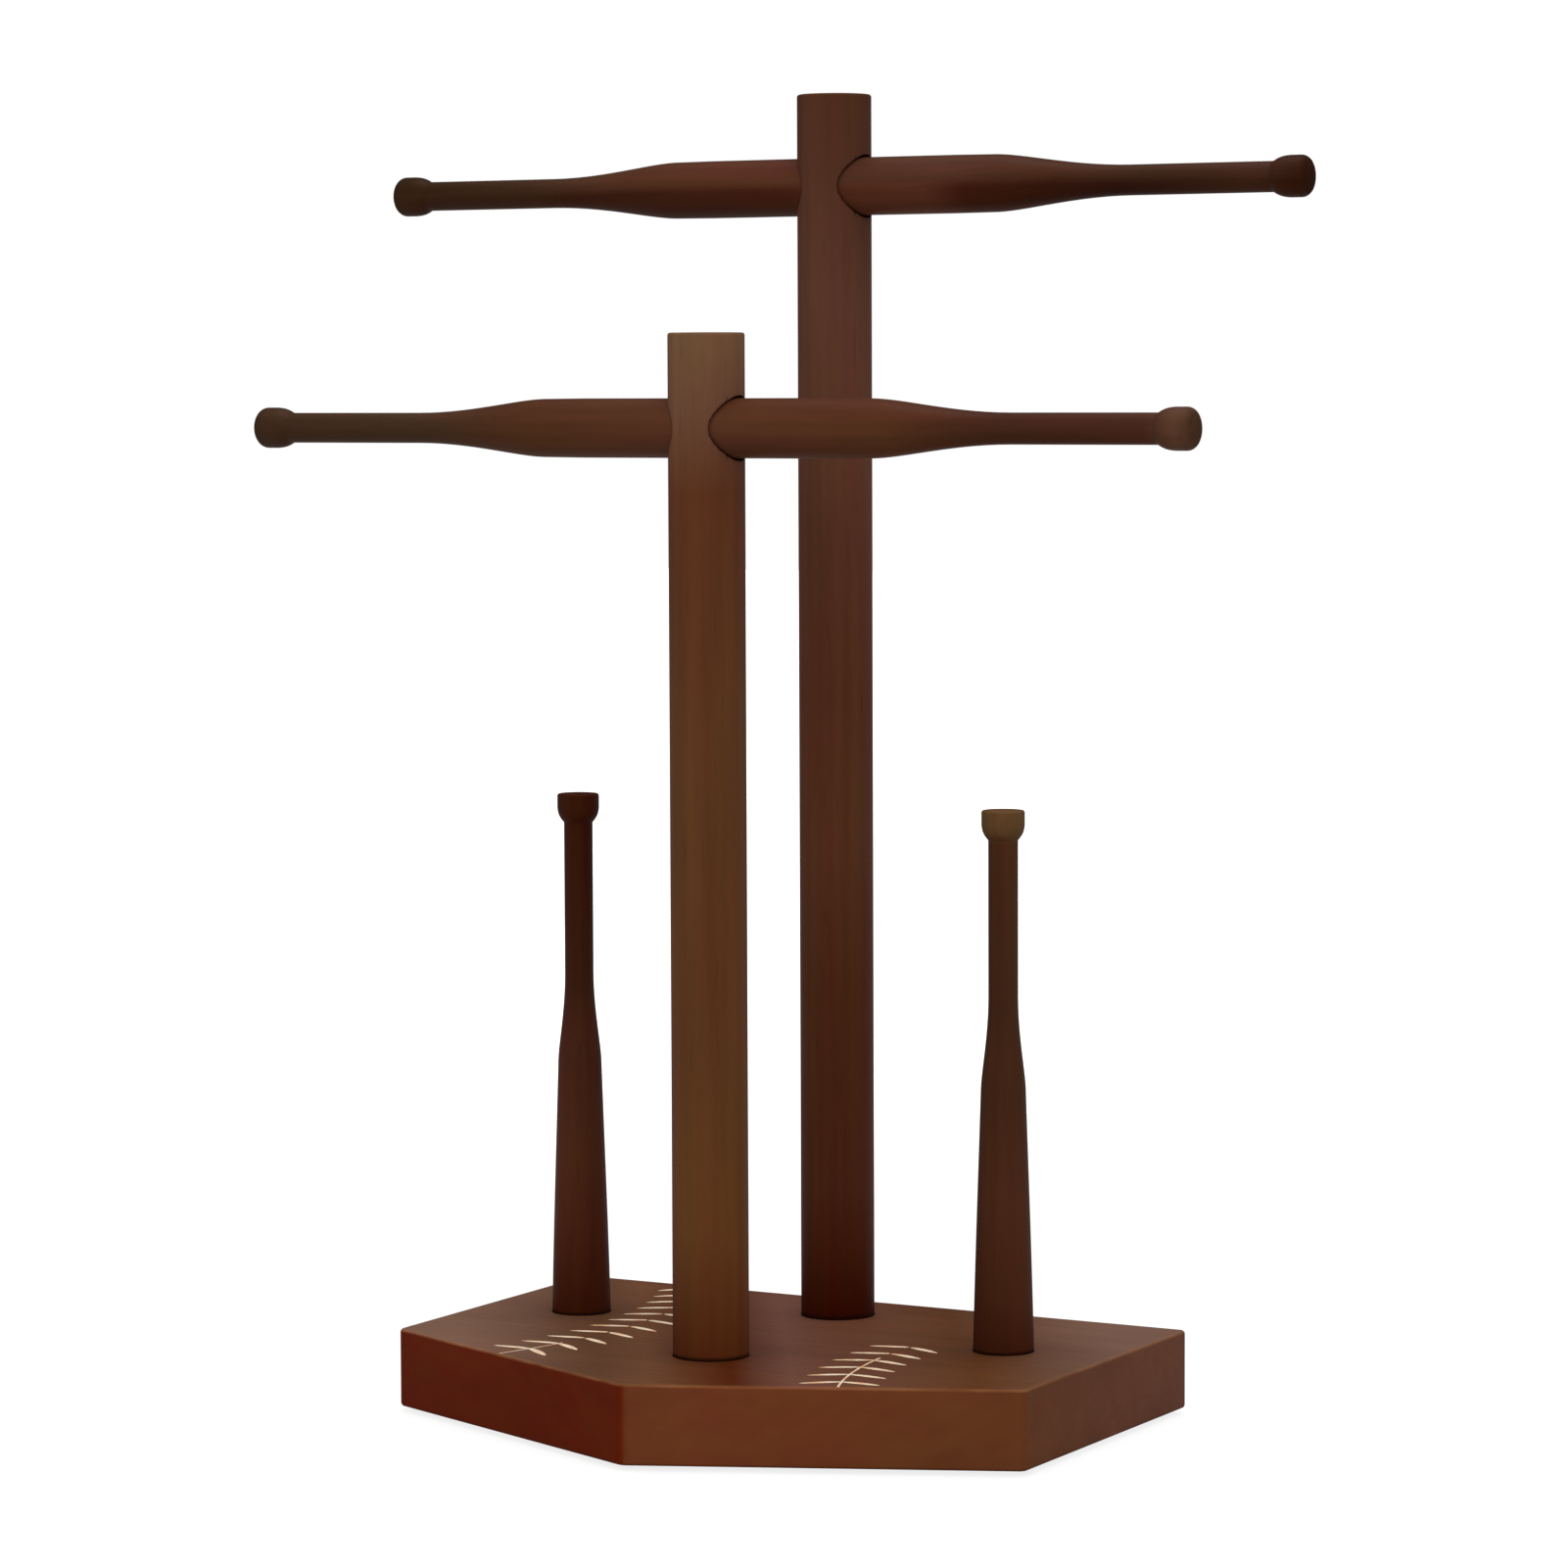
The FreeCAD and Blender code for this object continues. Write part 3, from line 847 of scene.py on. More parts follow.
@dataclass
class Board:
    """The home-plate board: a slab with eased edges, four sockets, screw holes and the seams."""

    side_length: float = 69.0 * MM
    point_depth: float = 29.5 * MM
    corner_radius: float = 1.2 * MM
    corner_steps: int = 6
    edge_radius: float = 0.7 * MM
    edge_steps: int = 5
    socket_depth: float = 7.0 * MM
    socket_clearance: float = 0.1 * MM
    head_radius: float = 3.6 * MM
    head_depth: float = 0.3 * MM
    overrun: float = 1.0 * MM
    sockets: tuple[str, ...] = ("tall_post", "short_post", "left_ring_bat", "right_ring_bat")
    low: Vector = field(init=False)
    high: Vector = field(init=False)

    def __post_init__(self) -> None:
        """Takes the slab's size and place from the frame."""
        self.low, self.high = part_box("base_board")

    def slab(self) -> Thing:
        """The plain slab with its front corners cut off and its edges eased."""
        size = self.high - self.low
        bpy.ops.mesh.primitive_cube_add(size=1, location=(self.low + self.high) / 2)
        piece = newest("stained_base_board")
        piece.scale = size
        settle()
        half_width, front_y = size.x / 2, self.high.y - self.side_length - self.point_depth
        with editing(piece):
            for side in Side:
                bpy.ops.mesh.select_all(action="SELECT")
                bpy.ops.mesh.bisect(plane_co=(0, front_y, 0),
                                    plane_no=(side.value * self.point_depth, -half_width, 0),
                                    use_fill=True, clear_outer=True)
            bpy.ops.mesh.select_all(action="SELECT")
            bpy.ops.mesh.remove_doubles(threshold=TINY)
            select_where(piece, lambda a, b: abs((a - b).z) > size.z / 2)
            bpy.ops.mesh.bevel(offset=self.corner_radius, segments=self.corner_steps,
                               affect="EDGES")
            select_where(piece, lambda a, b: abs((a - b).z) < TINY)
            bpy.ops.mesh.bevel(offset=self.edge_radius, segments=self.edge_steps, affect="EDGES")
        return piece

    def socket_cutter(self, node: str) -> Thing:
        """A turned cutter for a socket and the screw hole below it.

        Args:
            node: The post or ring bat that stands in the socket.
        Returns:
            The cutter, in place.
        """
        low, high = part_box(node)
        foot_radius = (high.x - low.x) / 2 if node.endswith("post") else RingBat.foot_radius
        socket = foot_radius + self.socket_clearance
        top_z, floor_z = self.high.z + self.overrun, self.high.z - self.socket_depth
        head_z = self.low.z + self.head_depth
        cone_z = head_z + self.head_radius - PILOT_RADIUS
        cutter = turn("cutter", [
            (socket, top_z), (socket, floor_z), (PILOT_RADIUS, floor_z), (PILOT_RADIUS, cone_z),
            (self.head_radius, head_z), (self.head_radius, self.low.z - self.overrun)])
        lay(cutter, middle(node, 0))
        return cutter

    def seams(self) -> list[Seam]:
        """The two seams, the right one ending short beside the ring bat."""
        common = {"half_width": self.high.x, "rear_y": self.high.y, "top_z": self.high.z,
                  "shoulder_y": self.high.y - self.side_length}
        return [Seam(side=Side.LEFT, phase=0.0, end_y=self.high.y, line_end_y=-18.0 * MM, **common),
                Seam(side=Side.RIGHT, phase=0.7, end_y=10.0 * MM, line_end_y=-4.0 * MM, **common)]

    def build(self, stain: Finish, paint: Finish) -> None:
        """Builds and dresses the board and the paint in its seams.

        Args:
            stain: The board's material.
            paint: The paint's material.
        """
        piece = self.slab()
        cutters = [self.socket_cutter(node) for node in self.sockets]
        for seam in self.seams():
            cutters.extend(seam.cutters())
        cut_away(piece, cutters)
        smooth(piece)
        dress(piece, stain, "base_board")
        for seam in self.seams():
            seam.paint(paint)


# ---- Posts and bats --------------------------------------------------------------------------


@dataclass
class Post:
    """A round post with an eased rim, a screw bore in its foot and a seat for a pair of bats."""

    node: str
    bats: str                        # one of the two crosswise bats that it holds
    around: int = 128
    rim: float = 0.5 * MM
    rim_steps: int = 5
    web: float = 6.4 * MM
    seat_clearance: float = 0.5 * MM
    mouth_ease: float = 0.12 * MM
    mouth_steps: int = 3
    mouth_tolerance: float = 0.01 * MM
    rings: int = 5
    ring_step: float = 1.25 * MM
    overrun: float = 2.0 * MM

    def build(self, stain: Finish) -> None:
        """Builds and dresses the post.

        Args:
            stain: Its material.
        """
        low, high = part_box(self.node)
        radius, seat_y = (high.x - low.x) / 2, middle(self.node).y
        seat_z = sum(corner.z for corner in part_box(self.bats)) / 2
        stations = [(PILOT_RADIUS, low.z + PILOT_HEIGHT), (PILOT_RADIUS, low.z),
                    (radius - self.rim, low.z), (radius, low.z + self.rim)]
        stations += [(radius, seat_z + step * self.ring_step) for step in range(-self.rings,
                                                                                self.rings + 1)]
        stations.append((radius, high.z - self.rim))
        stations += curve((stations[-1], (radius, high.z), (radius - self.rim, high.z)),
                          self.rim_steps)
        piece = turn(f"stained_{self.node}", stations, self.around)
        lay(piece, Vector((0, seat_y, 0)))
        self.cut_seats(piece, radius, seat_y, seat_z)
        smooth(piece)
        dress(piece, stain, self.node)

    def cut_seats(self, piece: Thing, radius: float, seat_y: float, seat_z: float) -> None:
        """Bores the two seats and the dowel's hole between them, and eases the seats' mouths.

        Args:
            piece: The post.
            radius: Its radius.
            seat_y: Where the bats' axis crosses the post's.
            seat_z: At what height.
        """
        reach, half_web = radius + self.overrun, self.web / 2
        wide = CrosswiseBat.barrel_radius + self.seat_clearance
        cutter = turn("cutter", [
            (wide, -reach), (wide, -half_web), (DOWEL_HOLE_RADIUS, -half_web),
            (DOWEL_HOLE_RADIUS, half_web), (wide, half_web), (wide, reach)])
        lay(cutter, Vector((0, seat_y, seat_z)), math.pi / 2, "Y")
        cut_away(piece, [cutter])

        def on_mouth(point: Vector) -> bool:
            """Tests if a point lies where a seat's wall meets the round of the post.

            Args:
                point: The point.
            Returns:
                Whether it does.
            """
            from_post = math.hypot(point.x, point.y - seat_y) - radius
            from_bat = math.hypot(point.y - seat_y, point.z - seat_z) - wide
            return max(abs(from_post), abs(from_bat)) < self.mouth_tolerance

        with editing(piece):
            select_where(piece, lambda a, b: on_mouth(a) and on_mouth(b))
            bpy.ops.mesh.bevel(offset=self.mouth_ease, segments=self.mouth_steps, affect="EDGES")


# The guide points of a bat's taper, as shares of its length from its start and from its end.
TAPER_GUIDES = (0.22, 0.42)
# The guide points of a knob, as shares outwards and along: of the flare for its neck and its
# underside, behind their steps, and of the radius and the dome for its end.
NECK = (4, ((0, 0), (0, 0.13), (0.1, 0.17), (0.22, 0.23)))
UNDERSIDE = (9, ((0.22, 0.23), (0.55, 0.44), (0.93, 0.65), (1, 1.23)))
CROWN = ((0.55, 0.3), (0.3, 0), (0.08, 0))
# The guide points of a ring bat's barrel, as shares of its length.
BARREL_GUIDES = (0.33, 0.67)


@dataclass
class TurnedBat:
    """A barrel, a hollow taper, a thin handle, a flare and a knob, as the crosswise bats have."""

    reach: float = 99.0 * MM
    barrel_length: float = 35.0 * MM
    barrel_end_radius: float = 5.42 * MM
    taper_length: float = 27.5 * MM
    taper_lead: float = 0.16 * MM    # what the radius has lost at the taper's first guide point
    handle_radius: float = 2.85 * MM
    flare_length: float = 3.0 * MM
    knob_radius: float = 3.875 * MM
    knob_length: float = 4.8 * MM
    knob_round: float = 1.7 * MM
    dome: float = 0.35 * MM
    taper_steps: int = 14
    round_steps: int = 7
    crown_steps: int = 6

    def outer_stations(self) -> list[Station]:
        """The profile from the barrel's end to the end of the knob."""
        start = (self.barrel_end_radius, self.barrel_length)
        thin, thick = self.handle_radius, self.knob_radius
        handle_z = self.barrel_length + self.taper_length
        flare_z = self.reach - self.knob_length - self.flare_length
        lead, trail = (share * self.taper_length for share in TAPER_GUIDES)
        stations = [start, *curve((start, (start[0] - self.taper_lead, start[1] + lead),
                                   (thin, handle_z - trail), (thin, handle_z)),
                                  self.taper_steps), (thin, flare_z)]
        for steps, guides in (NECK, UNDERSIDE):
            stations += curve([(thin + (thick - thin) * out, flare_z + self.flare_length * along)
                               for out, along in guides], steps)
        rim_z = self.reach - self.dome
        stations.append((thick, rim_z - self.knob_round))
        stations += curve((stations[-1], (thick, rim_z), (thick - self.knob_round, rim_z)),
                          self.round_steps)
        stations += curve([stations[-1], *((thick * out, self.reach - self.dome * along)
                                           for out, along in CROWN)], self.crown_steps)
        return stations


@dataclass
class CrosswiseBat(TurnedBat):
    """One of the four bats that lie crosswise, its butt bored for half of the joining dowel."""

    barrel_radius: float = 5.5 * MM
    straight_share: float = 0.75
    butt: float = 3.25 * MM
    dowel_reach: float = 15.25 * MM

    def build(self, stains: dict[str, Finish]) -> None:
        """Turns one bat along Z, and lays a copy in each of the four places.

        Args:
            stains: The material of each tier's two bats.
        """
        pattern = turn("crosswise_bat", [
            (DOWEL_HOLE_RADIUS, self.dowel_reach), (DOWEL_HOLE_RADIUS, self.butt),
            (self.barrel_radius, self.butt),
            (self.barrel_radius, self.barrel_length * self.straight_share),
            *self.outer_stations()])
        copies = []
        for tier, stain in stains.items():
            for side in Side:
                node = f"{tier}_{side.name.lower()}_bat"
                copies.append((node, stain, Vector((0, *middle(node).yz)),
                               side.value * math.pi / 2))
        set_out(pattern, "stained_bat", copies, "Y")


@dataclass
class RingBat(TurnedBat):
    """One of the two bats that stand on the board, with its foot in a socket."""

    reach: float = 101.3 * MM
    barrel_length: float = 49.5 * MM
    barrel_end_radius: float = 4.2 * MM
    taper_length: float = 17.0 * MM
    taper_lead: float = 0.2 * MM
    handle_radius: float = 2.78 * MM
    flare_length: float = 2.6 * MM
    knob_radius: float = 4.05 * MM
    knob_length: float = 3.4 * MM
    knob_round: float = 0.45 * MM
    dome: float = 0.12 * MM
    foot_radius: float = 5.7 * MM
    foot_lead: float = 0.35 * MM     # how far the barrel's guide points lie inside and outside
    end_lead: float = 0.5 * MM       # the radii of its two ends
    barrel_steps: int = 12

    def build(self, stains: dict[str, Finish]) -> None:
        """Turns one ring bat along Z, and lays a copy in both places.

        Args:
            stains: The material of each ring bat by its CAD node.
        """
        top_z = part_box("base_board")[1].z
        foot_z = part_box("left_ring_bat")[0].z - top_z
        foot, end = (self.foot_radius, 0), (self.barrel_end_radius, self.barrel_length)
        stations = [(PILOT_RADIUS, foot_z + PILOT_HEIGHT), (PILOT_RADIUS, foot_z),
                    (self.foot_radius, foot_z), foot]
        lead_z, trail_z = (share * self.barrel_length for share in BARREL_GUIDES)
        stations += curve((foot, (foot[0] - self.foot_lead, lead_z),
                           (end[0] + self.end_lead, trail_z), end), self.barrel_steps)
        pattern = turn("ring_bat", stations + self.outer_stations()[1:])
        set_out(pattern, "stained_ring_bat", [
            (node, stain, middle(node, top_z), 0) for node, stain in stains.items()])


# ---- Fixings and pads ------------------------------------------------------------------------


@dataclass
class JoiningDowel:
    """A fluted dowel that joins the two bats of a tier inside the post."""

    around: int = 48
    flute_every: int = 4
    flute_depth: float = 0.15 * MM
    flute_edge: float = 0.05 * MM
    end_ease: float = 0.6 * MM
    nodes: tuple[str, ...] = ("upper_joining_dowel", "lower_joining_dowel")

    def build(self, beech: Finish) -> None:
        """Turns one dowel, presses the flutes into it, and lays a copy in each place.

        Args:
            beech: The dowels' material.
        """
        low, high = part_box(self.nodes[0])
        half, radius = (high.x - low.x) / 2, (high.z - low.z) / 2
        small = radius - self.end_ease
        pattern = turn("dowel", [(small, -half), (radius, -half + self.end_ease),
                                 (radius, half - self.end_ease), (small, half)], self.around)
        step = math.tau / self.around

        def on_flute(centre: Vector, normal: Vector) -> bool:
            """Whether a face is one of the long ones that a flute runs along."""
            number = round(math.atan2(centre.y, centre.x) / step - 0.5)
            return abs(normal.z) < 0.1 and number % self.flute_every == 0

        with editing(pattern):
            select_where(pattern, on_flute, faces=True)
            bpy.ops.mesh.inset(thickness=self.flute_edge, use_individual=True)
            bpy.ops.transform.shrink_fatten(value=-self.flute_depth)
        set_out(pattern, "beech_dowel", [
            (node, beech, middle(node), math.pi / 2) for node in self.nodes], "Y")


@dataclass
class Screw:
    """A countersunk wood screw with a cross recess and a coarse thread."""

    around: int = 48
    head_radius: float = 3.5 * MM
    head_rim: float = 0.12 * MM
    outer_radius: float = 1.75 * MM
    core_radius: float = 1.25 * MM
    tip_radius: float = 0.1 * MM
    length: float = 25.0 * MM
    tip_length: float = 4.0 * MM
    plain_length: float = 7.0 * MM
    thread_pitch: float = 1.5 * MM
    thread_half: float = 0.42 * MM
    thread_turns: int = 9
    thread_steps: int = 24
    recess_span: float = 3.6 * MM
    recess_width: float = 0.9 * MM
    recess_depth: float = 1.3 * MM
    recess_taper: float = 0.55
    overrun: float = 0.5 * MM
    driven: tuple[tuple[str, float], ...] = (
        ("tall_post_screw", 0.4), ("short_post_screw", 1.1), ("left_ring_bat_screw", 0.1),
        ("right_ring_bat_screw", 0.7))

    def recess_arm(self, spans: tuple[float, float]) -> Thing:
        """A cutter for one arm of the cross recess, narrower at its floor.

        Args:
            spans: Its size along X and Y.
        Returns:
            The cutter.
        """
        bpy.ops.mesh.primitive_cube_add(size=1)
        arm = newest("arm")
        arm.scale = (*spans, self.recess_depth + self.overrun)
        arm.location.z = (self.recess_depth - self.overrun) / 2
        settle()
        with editing(arm):
            select_where(arm, lambda centre, normal: normal.z > 0.5, faces=True)
            bpy.ops.transform.resize(value=(self.recess_taper, self.recess_taper, 1),
                                     center_override=(0, 0, self.recess_depth))
        return arm

    def thread(self) -> Thing:
        """The thread's ridge, wound round the core."""
        bpy.ops.mesh.primitive_circle_add(vertices=3, radius=1, fill_type="NOTHING")
        ridge = newest("ridge")
        inner = self.core_radius - self.thread_half / 2
        corners = ((inner, -self.thread_half), (self.outer_radius, 0), (inner, self.thread_half))
        for vertex, (radius, height) in zip(ridge.data.vertices, corners):
            vertex.co = Vector((radius, 0, self.plain_length + height))
        finish_with(ridge, "SCREW", screw_offset=self.thread_pitch, iterations=self.thread_turns,
                    steps=self.thread_steps, render_steps=self.thread_steps)
        with editing(ridge):
            bpy.ops.mesh.select_all(action="SELECT")
            bpy.ops.mesh.fill_holes(sides=0)
            face_outwards()
        return ridge

    def build(self, zinc: Finish) -> None:
        """Makes one screw, tip upwards, and lays a copy in each place, turned as it was driven.

        Args:
            zinc: The screws' material.
        """
        cone_z = self.head_rim + self.head_radius - self.outer_radius
        neck_z = self.plain_length / 2
        pattern = turn("screw", [
            (self.head_radius - self.head_rim, 0), (self.head_radius, self.head_rim),
            (self.outer_radius, cone_z), (self.outer_radius, neck_z),
            (self.core_radius, neck_z + self.outer_radius - self.core_radius),
            (self.core_radius, self.length - self.tip_length), (self.tip_radius, self.length)],
            self.around)
        cut_away(pattern, [self.recess_arm((self.recess_span, self.recess_width)),
                           self.recess_arm((self.recess_width, self.recess_span))])
        pick(self.thread(), pattern)
        bpy.ops.object.join()
        set_out(pattern, "zinc_screw", [
            (node, zinc, middle(node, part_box(node)[0].z), angle) for node, angle in self.driven])


@dataclass
class Pad:
    """A round stick-on rubber pad with an eased rim and a shallow dish in its underside."""

    rim: float = 0.35 * MM
    rim_steps: int = 5
    dish_radius: float = 2.6 * MM
    dish_slope: float = 0.4 * MM
    dish_depth: float = 0.2 * MM
    nodes: tuple[str, ...] = ("rear_left_pad", "rear_right_pad", "left_shoulder_pad",
                              "right_shoulder_pad", "point_pad")

    def build(self, rubber: Finish) -> None:
        """Makes one pad and lays a copy in each place.

        Args:
            rubber: The pads' material.
        """
        low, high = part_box(self.nodes[0])
        radius, height = (high.x - low.x) / 2, high.z - low.z
        edge = (radius - self.rim, 0.0)
        pattern = turn("pad", [
            (self.dish_radius, self.dish_depth), (self.dish_radius + self.dish_slope, 0), edge,
            *curve((edge, (radius, 0), (radius, self.rim)), self.rim_steps), (radius, height)])
        set_out(pattern, "rubber_pad", [
            (node, rubber, middle(node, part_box(node)[0].z), 0) for node in self.nodes])


# ---- Studio ----------------------------------------------------------------------------------


@dataclass
class Studio:
    """The white sweep, the soft lamps and the camera round the stand."""

    yaw: float = math.radians(29.063)
    pitch: float = math.radians(4.313)
    roll: float = math.radians(-0.225)
    distance: float = 1001.5 * MM
    aim_right: float = 6.089 * MM
    aim_height: float = 121.377 * MM
    lens_mm: float = 122.86
    sensor_mm: float = 36.0
    near: float = 0.01
    floor_size: float = 8.0
    paper: str = "#bdbdbd"
    paper_roughness: float = 0.9
    shadow_reach: float = 0.5        # the floor's glow starts half this far out, and is full here
    glow: float = 1.5
    glow_near: float = 0.55
    even_light: float = 0.6          # the world's light, and what gloss sees on its two sides
    dim: float = 0.0
    bright: float = 0.6
    bright_side: tuple[float, float, float] = (0.9, -0.2, 0.0)
    # Each lamp's name, place, side and watts.
    lamps: tuple[tuple[str, tuple[float, float, float], float, float], ...] = (
        ("key_lamp", (0.7, -1.0, 0.9), 0.8, 6.2), ("fill_lamp", (-0.9, -0.9, 0.5), 0.9, 1.7),
        ("top_lamp", (0.0, 0.1, 1.3), 0.8, 6.8))

    def camera(self) -> None:
        """Adds the camera, in front of the stand and to its right."""
        turned = (Matrix.Rotation(self.yaw, 4, "Z")
                  @ Matrix.Rotation(math.pi / 2 - self.pitch, 4, "X")
                  @ Matrix.Rotation(self.roll, 4, "Z"))
        right = Vector((math.cos(self.yaw), math.sin(self.yaw), 0))
        back = turned @ Vector((0, 0, 1))
        aim = right * self.aim_right + Vector((0, 0, self.aim_height))
        bpy.ops.object.camera_add()
        camera = bpy.context.active_object
        camera.name = "product_camera"
        camera.matrix_world = Matrix.Translation(aim + back * self.distance) @ turned
        camera.data.sensor_fit = "HORIZONTAL"
        camera.data.sensor_width = self.sensor_mm
        camera.data.lens = self.lens_mm
        camera.data.clip_start = self.near
        bpy.context.scene.camera = camera

    def light(self) -> None:
        """Adds the square soft lamps, which all face the middle of the stand."""
        for name, place, size, watts in self.lamps:
            bpy.ops.object.light_add(type="AREA", location=place)
            lamp = bpy.context.active_object
            lamp.name, lamp.data.size, lamp.data.energy = name, size, watts
            aim = Vector((0, 0, self.aim_height)) - Vector(place)
            lamp.rotation_euler = aim.to_track_quat("-Z", "Y").to_euler()

    def floor(self) -> None:
        """Adds the white floor, which keeps the stand's soft shadow close round it."""
        bpy.ops.mesh.primitive_plane_add(size=self.floor_size)
        plane = newest("studio_floor")
        # White paper: an even matt white, with no sheen of its own.
        material, tree, surface = fresh_material("white_paper_sweep")
        connect(surface, {"Base Color": linear(self.paper), "Roughness": self.paper_roughness,
                          "Specular IOR Level": 0.0})
        place = add_node(tree, "TexCoord", output="Object")
        away = add_node(tree, "VectorMath", {0: place}, operation="LENGTH")
        share = add_node(tree, "MapRange", {"Value": away, "From Min": self.shadow_reach / 2,
                                            "From Max": self.shadow_reach,
                                            "To Min": self.glow_near})
        seen = add_node(tree, "LightPath", output="Is Camera Ray")
        lit = add_node(tree, "Math", {0: seen, 1: share}, operation="MULTIPLY")
        glow = add_node(tree, "Emission", {"Strength": self.glow})
        mixed = add_node(tree, "MixShader", {0: lit, 1: surface.outputs["BSDF"], 2: glow})
        connect(tree.nodes["Material Output"], {"Surface": mixed})
        plane.data.materials.append(material)

    def sky(self) -> None:
        """Sets the even light all round, the white behind the stand and what gloss shows."""
        world = bpy.data.worlds.new("white_studio")
        bpy.context.scene.world = world
        world.use_nodes = True
        tree = world.node_tree
        for node in list(tree.nodes):
            tree.nodes.remove(node)
        seen, glossy, through = [add_node(tree, "LightPath", output=f"Is {kind} Ray")
                                 for kind in ("Camera", "Glossy", "Transmission")]
        way = add_node(tree, "TexCoord", output="Generated")
        sided = add_node(tree, "VectorMath", {0: way, 1: self.bright_side},
                         operation="DOT_PRODUCT")
        gloss = add_node(tree, "MapRange", {"Value": sided, "From Min": -1.0,
                                            "To Min": self.dim, "To Max": self.bright})
        unseen = add_node(tree, "Mix", {"Factor": glossy, "A": self.even_light, "B": gloss})
        shown = add_node(tree, "Math", {0: seen, 1: through}, operation="MAXIMUM")
        strength = add_node(tree, "Mix", {"Factor": shown, "A": unseen, "B": 1.0})
        light = add_node(tree, "Background", {"Color": (1, 1, 1, 1), "Strength": strength})
        add_node(tree, "OutputWorld", {"Surface": light})

    def build(self) -> None:
        """Sets up the whole studio."""
        bpy.context.scene.view_settings.view_transform = "Standard"
        self.camera()
        self.floor()
        self.sky()
        self.light()


# ---- The stand's finishes --------------------------------------------------------------------

# Walnut stain on the sawn and sanded board: a warm top, redder towards the left front face.
# Painted light and shade on the top: its tones are paler towards both ends as a painted sheen, and
# darker about the middle, near the posts, as painted shade. Its upper edges pale as scuffing and
# as a painted highlight.
BOARD_STAIN_AND_PAINTED_LIGHT = StainedWood(
    "satin_walnut_stain_on_board", Direction.ALONG_X,
    ((-45.2, "#5c1800"), (-44.9, "#5c1800"), (-44.2, "#6c3921"), (-21, "#6c3820"),
     (-1, "#653920"), (8, "#653920"), (12, "#62371f"), (40, "#653c29"), (72, "#673f2c")),
    way=(0.403, 0.915, 0.0),
    # The top's tones: a painted sheen, paler towards both ends, and painted shade about the middle.
    top_tones=((-65, "#7c5b4a"), (-34, "#64422d"), (-24, "#6e462d"), (-6, "#52230c"),
               (7, "#6e4739"), (45, "#5f361a"), (78, "#755647")), top_way=(1.0, 0.6, 0.0),
    cloud_depth=0.09, band_depth=0.03, ring_depth=0.015, streak_depth=0.02, pore_depth=0.04,
    end_depth=0.0, end_roughness=0.5, hue_drift=0.003, specular=0.05, amber="#ff9048",
    wear_and_highlight=0.22)

# The same stain on the turned posts and bats: olive to red brown. A painted shadow makes a dark
# line at the foot of each post and ring bat, where it meets the board, and the posts' tones run
# lighter upwards and darker towards the foot, as painted light and shade.
TALL_POST_STAIN_AND_SHADE = StainedWood(
    "satin_walnut_stain_on_tall_post", Direction.ALONG_Z,
    ((16.25, "#1a0502"), (16.7, "#370a01"), (30, "#481e0e"), (42, "#4e2818"), (80, "#4d2917"),
     (106, "#56311f"), (136, "#552f1e"), (212, "#613c2e"), (251, "#522f20")),
    seed=1.3, end_depth=0.5)
SHORT_POST_STAIN_AND_SHADE = StainedWood(
    "satin_walnut_stain_on_short_post", Direction.ALONG_Z,
    ((16.25, "#200b04"), (16.7, "#562a12"), (40, "#613a1e"), (122, "#5e3921"), (176, "#5d331f"),
     (192, "#6b4836"), (205, "#715239")), end_depth=0.5)
LEFT_RING_BAT_STAIN_AND_SHADE = StainedWood(
    "satin_walnut_stain_on_left_ring_bat", Direction.ALONG_Z,
    ((16.25, "#1a0803"), (16.7, "#3f1708"), (34, "#4c2316"), (45, "#4d2819"),
     (72, "#452117"), (80, "#3b1e10"), (117, "#3a1509")), seed=2.1)
RIGHT_RING_BAT_STAIN_AND_SHADE = StainedWood(
    "satin_walnut_stain_on_right_ring_bat", Direction.ALONG_Z,
    ((16.25, "#1a0803"), (16.7, "#411c0e"), (26, "#482516"), (45, "#4b2a1a"), (80, "#402717"),
     (111, "#492b18"), (113, "#5a4025"), (117, "#61452a")), seed=3.4)
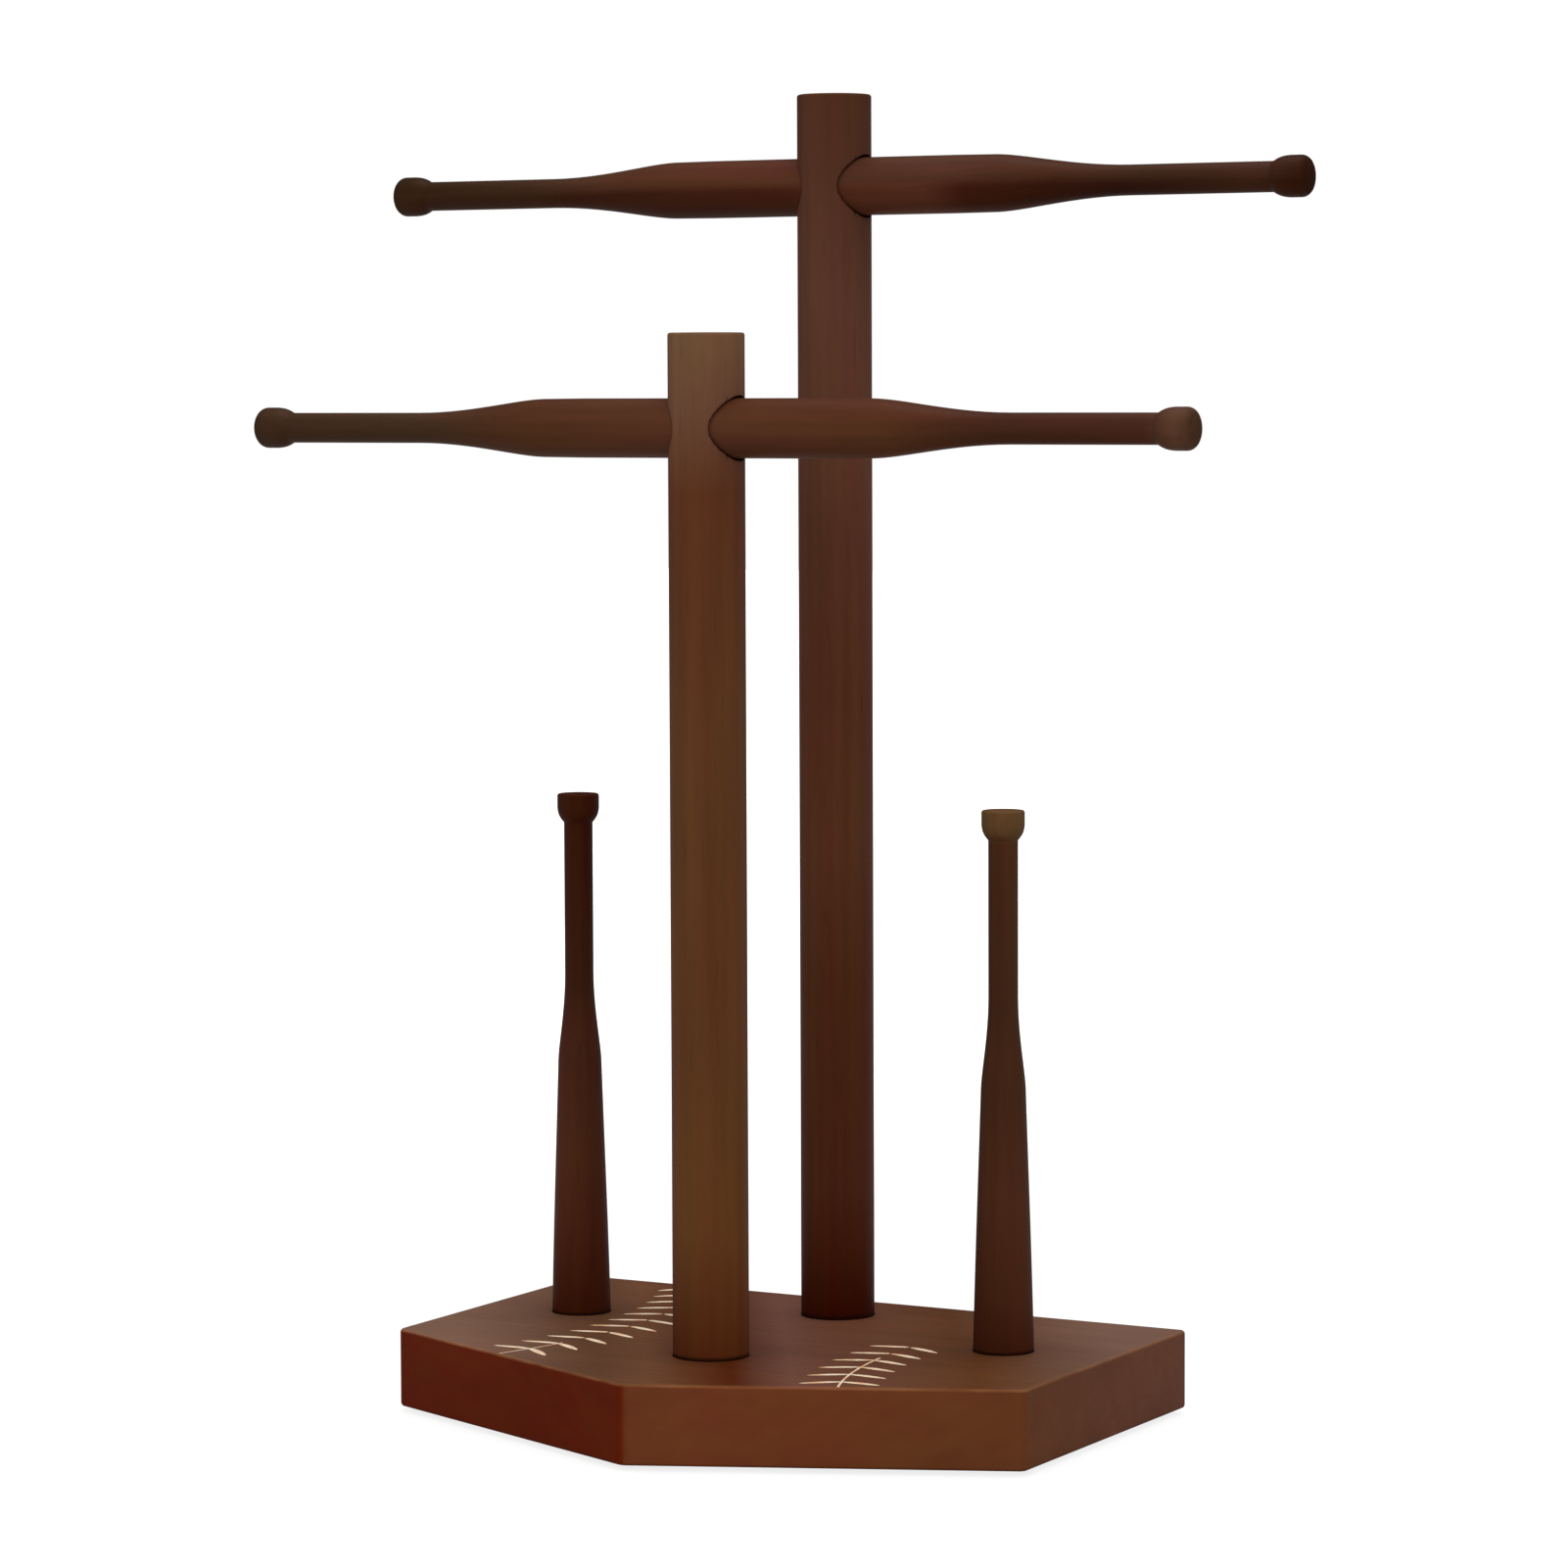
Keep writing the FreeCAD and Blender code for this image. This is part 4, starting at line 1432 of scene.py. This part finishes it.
# Painted light and shade: the upper bats have tones of their own above their middle, and are
# darker and redder below it.
UPPER_BAT_STAIN_AND_SHADE = StainedWood(
    "satin_walnut_stain_on_upper_bats", Direction.ALONG_X,
    ((-99, "#2e1c0f"), (-96, "#382115"), (-66, "#3c2416"), (-55, "#391b0e"), (-9, "#462013"),
     (8, "#592d1f"), (22, "#5a2e21"), (30, "#421c0f"), (62, "#2f160e"), (88, "#3c2115"),
     (96, "#34170b"), (99, "#2c1409")),
    top_tones=((-99, "#2e1c0f"), (-62, "#41291b"), (-40, "#52301e"), (-9, "#562f21"),
               (8, "#513022"), (24, "#502f22"), (46, "#452619"), (66, "#3a2317"),
               (90, "#3f241c"), (99, "#2c1409")), top_mm=(232.6, 234.8), seed=0.6)
LOWER_BAT_STAIN = StainedWood(
    "satin_walnut_stain_on_lower_bats", Direction.ALONG_X,
    ((-99, "#2f2016"), (-96, "#3c281b"), (-62, "#412d1f"), (-40, "#4c2b1a"), (0, "#563221"),
     (40, "#532f1d"), (62, "#45251a"), (90, "#48271c"), (96, "#573a2a"), (99, "#482f21")), seed=1.9)

# Pale gold acrylic paint, brushed into the engraving: opaque, slightly pearly and uneven.
SEAM_PAINT = MottledFinish(
    "pale_gold_acrylic_paint", ((0.36, "#f4bc8c"), (0.54, "#ffe6c8")), lump_mm=4.0,
    roughness=0.42, relief=0.3, relief_mm=0.1)
# Unstained beech: pale pinkish tan with short dark rays along the grain, dry and matt.
BARE_BEECH = MottledFinish(
    "bare_beech", ((0.42, "#d9b48a"), (0.68, "#a97c52")), lump_mm=0.5, shrink=8.0, roughness=0.7)
# Bright zinc plating on steel: a cool grey metal with fine cloudy dullness.
ZINC_PLATE = MottledFinish(
    "bright_zinc_plate", ((0.35, "#989b9b"), (0.6, "#c3c5c4")), lump_mm=1.2, detail=3.0,
    roughness=0.28, dull_roughness=0.46, metallic=1.0)
# Moulded black rubber: nearly black, matt, with the mould's fine grain drawn a little coarser.
PAD_RUBBER = MottledFinish(
    "moulded_black_rubber", ((0.4, "#1d1c1b"), (0.75, "#33312f")), lump_mm=0.35,
    roughness=0.78, relief=0.4, relief_mm=0.05)


# ---- The whole stand -------------------------------------------------------------------------


def main() -> None:
    """Builds and dresses every piece in order, then sets up the studio."""
    logging.basicConfig(level=logging.INFO, format="%(name)s: %(message)s")
    Board().build(BOARD_STAIN_AND_PAINTED_LIGHT.material(), SEAM_PAINT.material())
    Post("tall_post", "upper_right_bat").build(TALL_POST_STAIN_AND_SHADE.material())
    Post("short_post", "lower_right_bat").build(SHORT_POST_STAIN_AND_SHADE.material())
    CrosswiseBat().build({"upper": UPPER_BAT_STAIN_AND_SHADE.material(), "lower": LOWER_BAT_STAIN.material()})
    RingBat().build({"left_ring_bat": LEFT_RING_BAT_STAIN_AND_SHADE.material(),
                     "right_ring_bat": RIGHT_RING_BAT_STAIN_AND_SHADE.material()})
    JoiningDowel().build(BARE_BEECH.material())
    Screw().build(ZINC_PLATE.material())
    Pad().build(PAD_RUBBER.material())
    Studio().build()


if __name__ == "__main__":
    main()
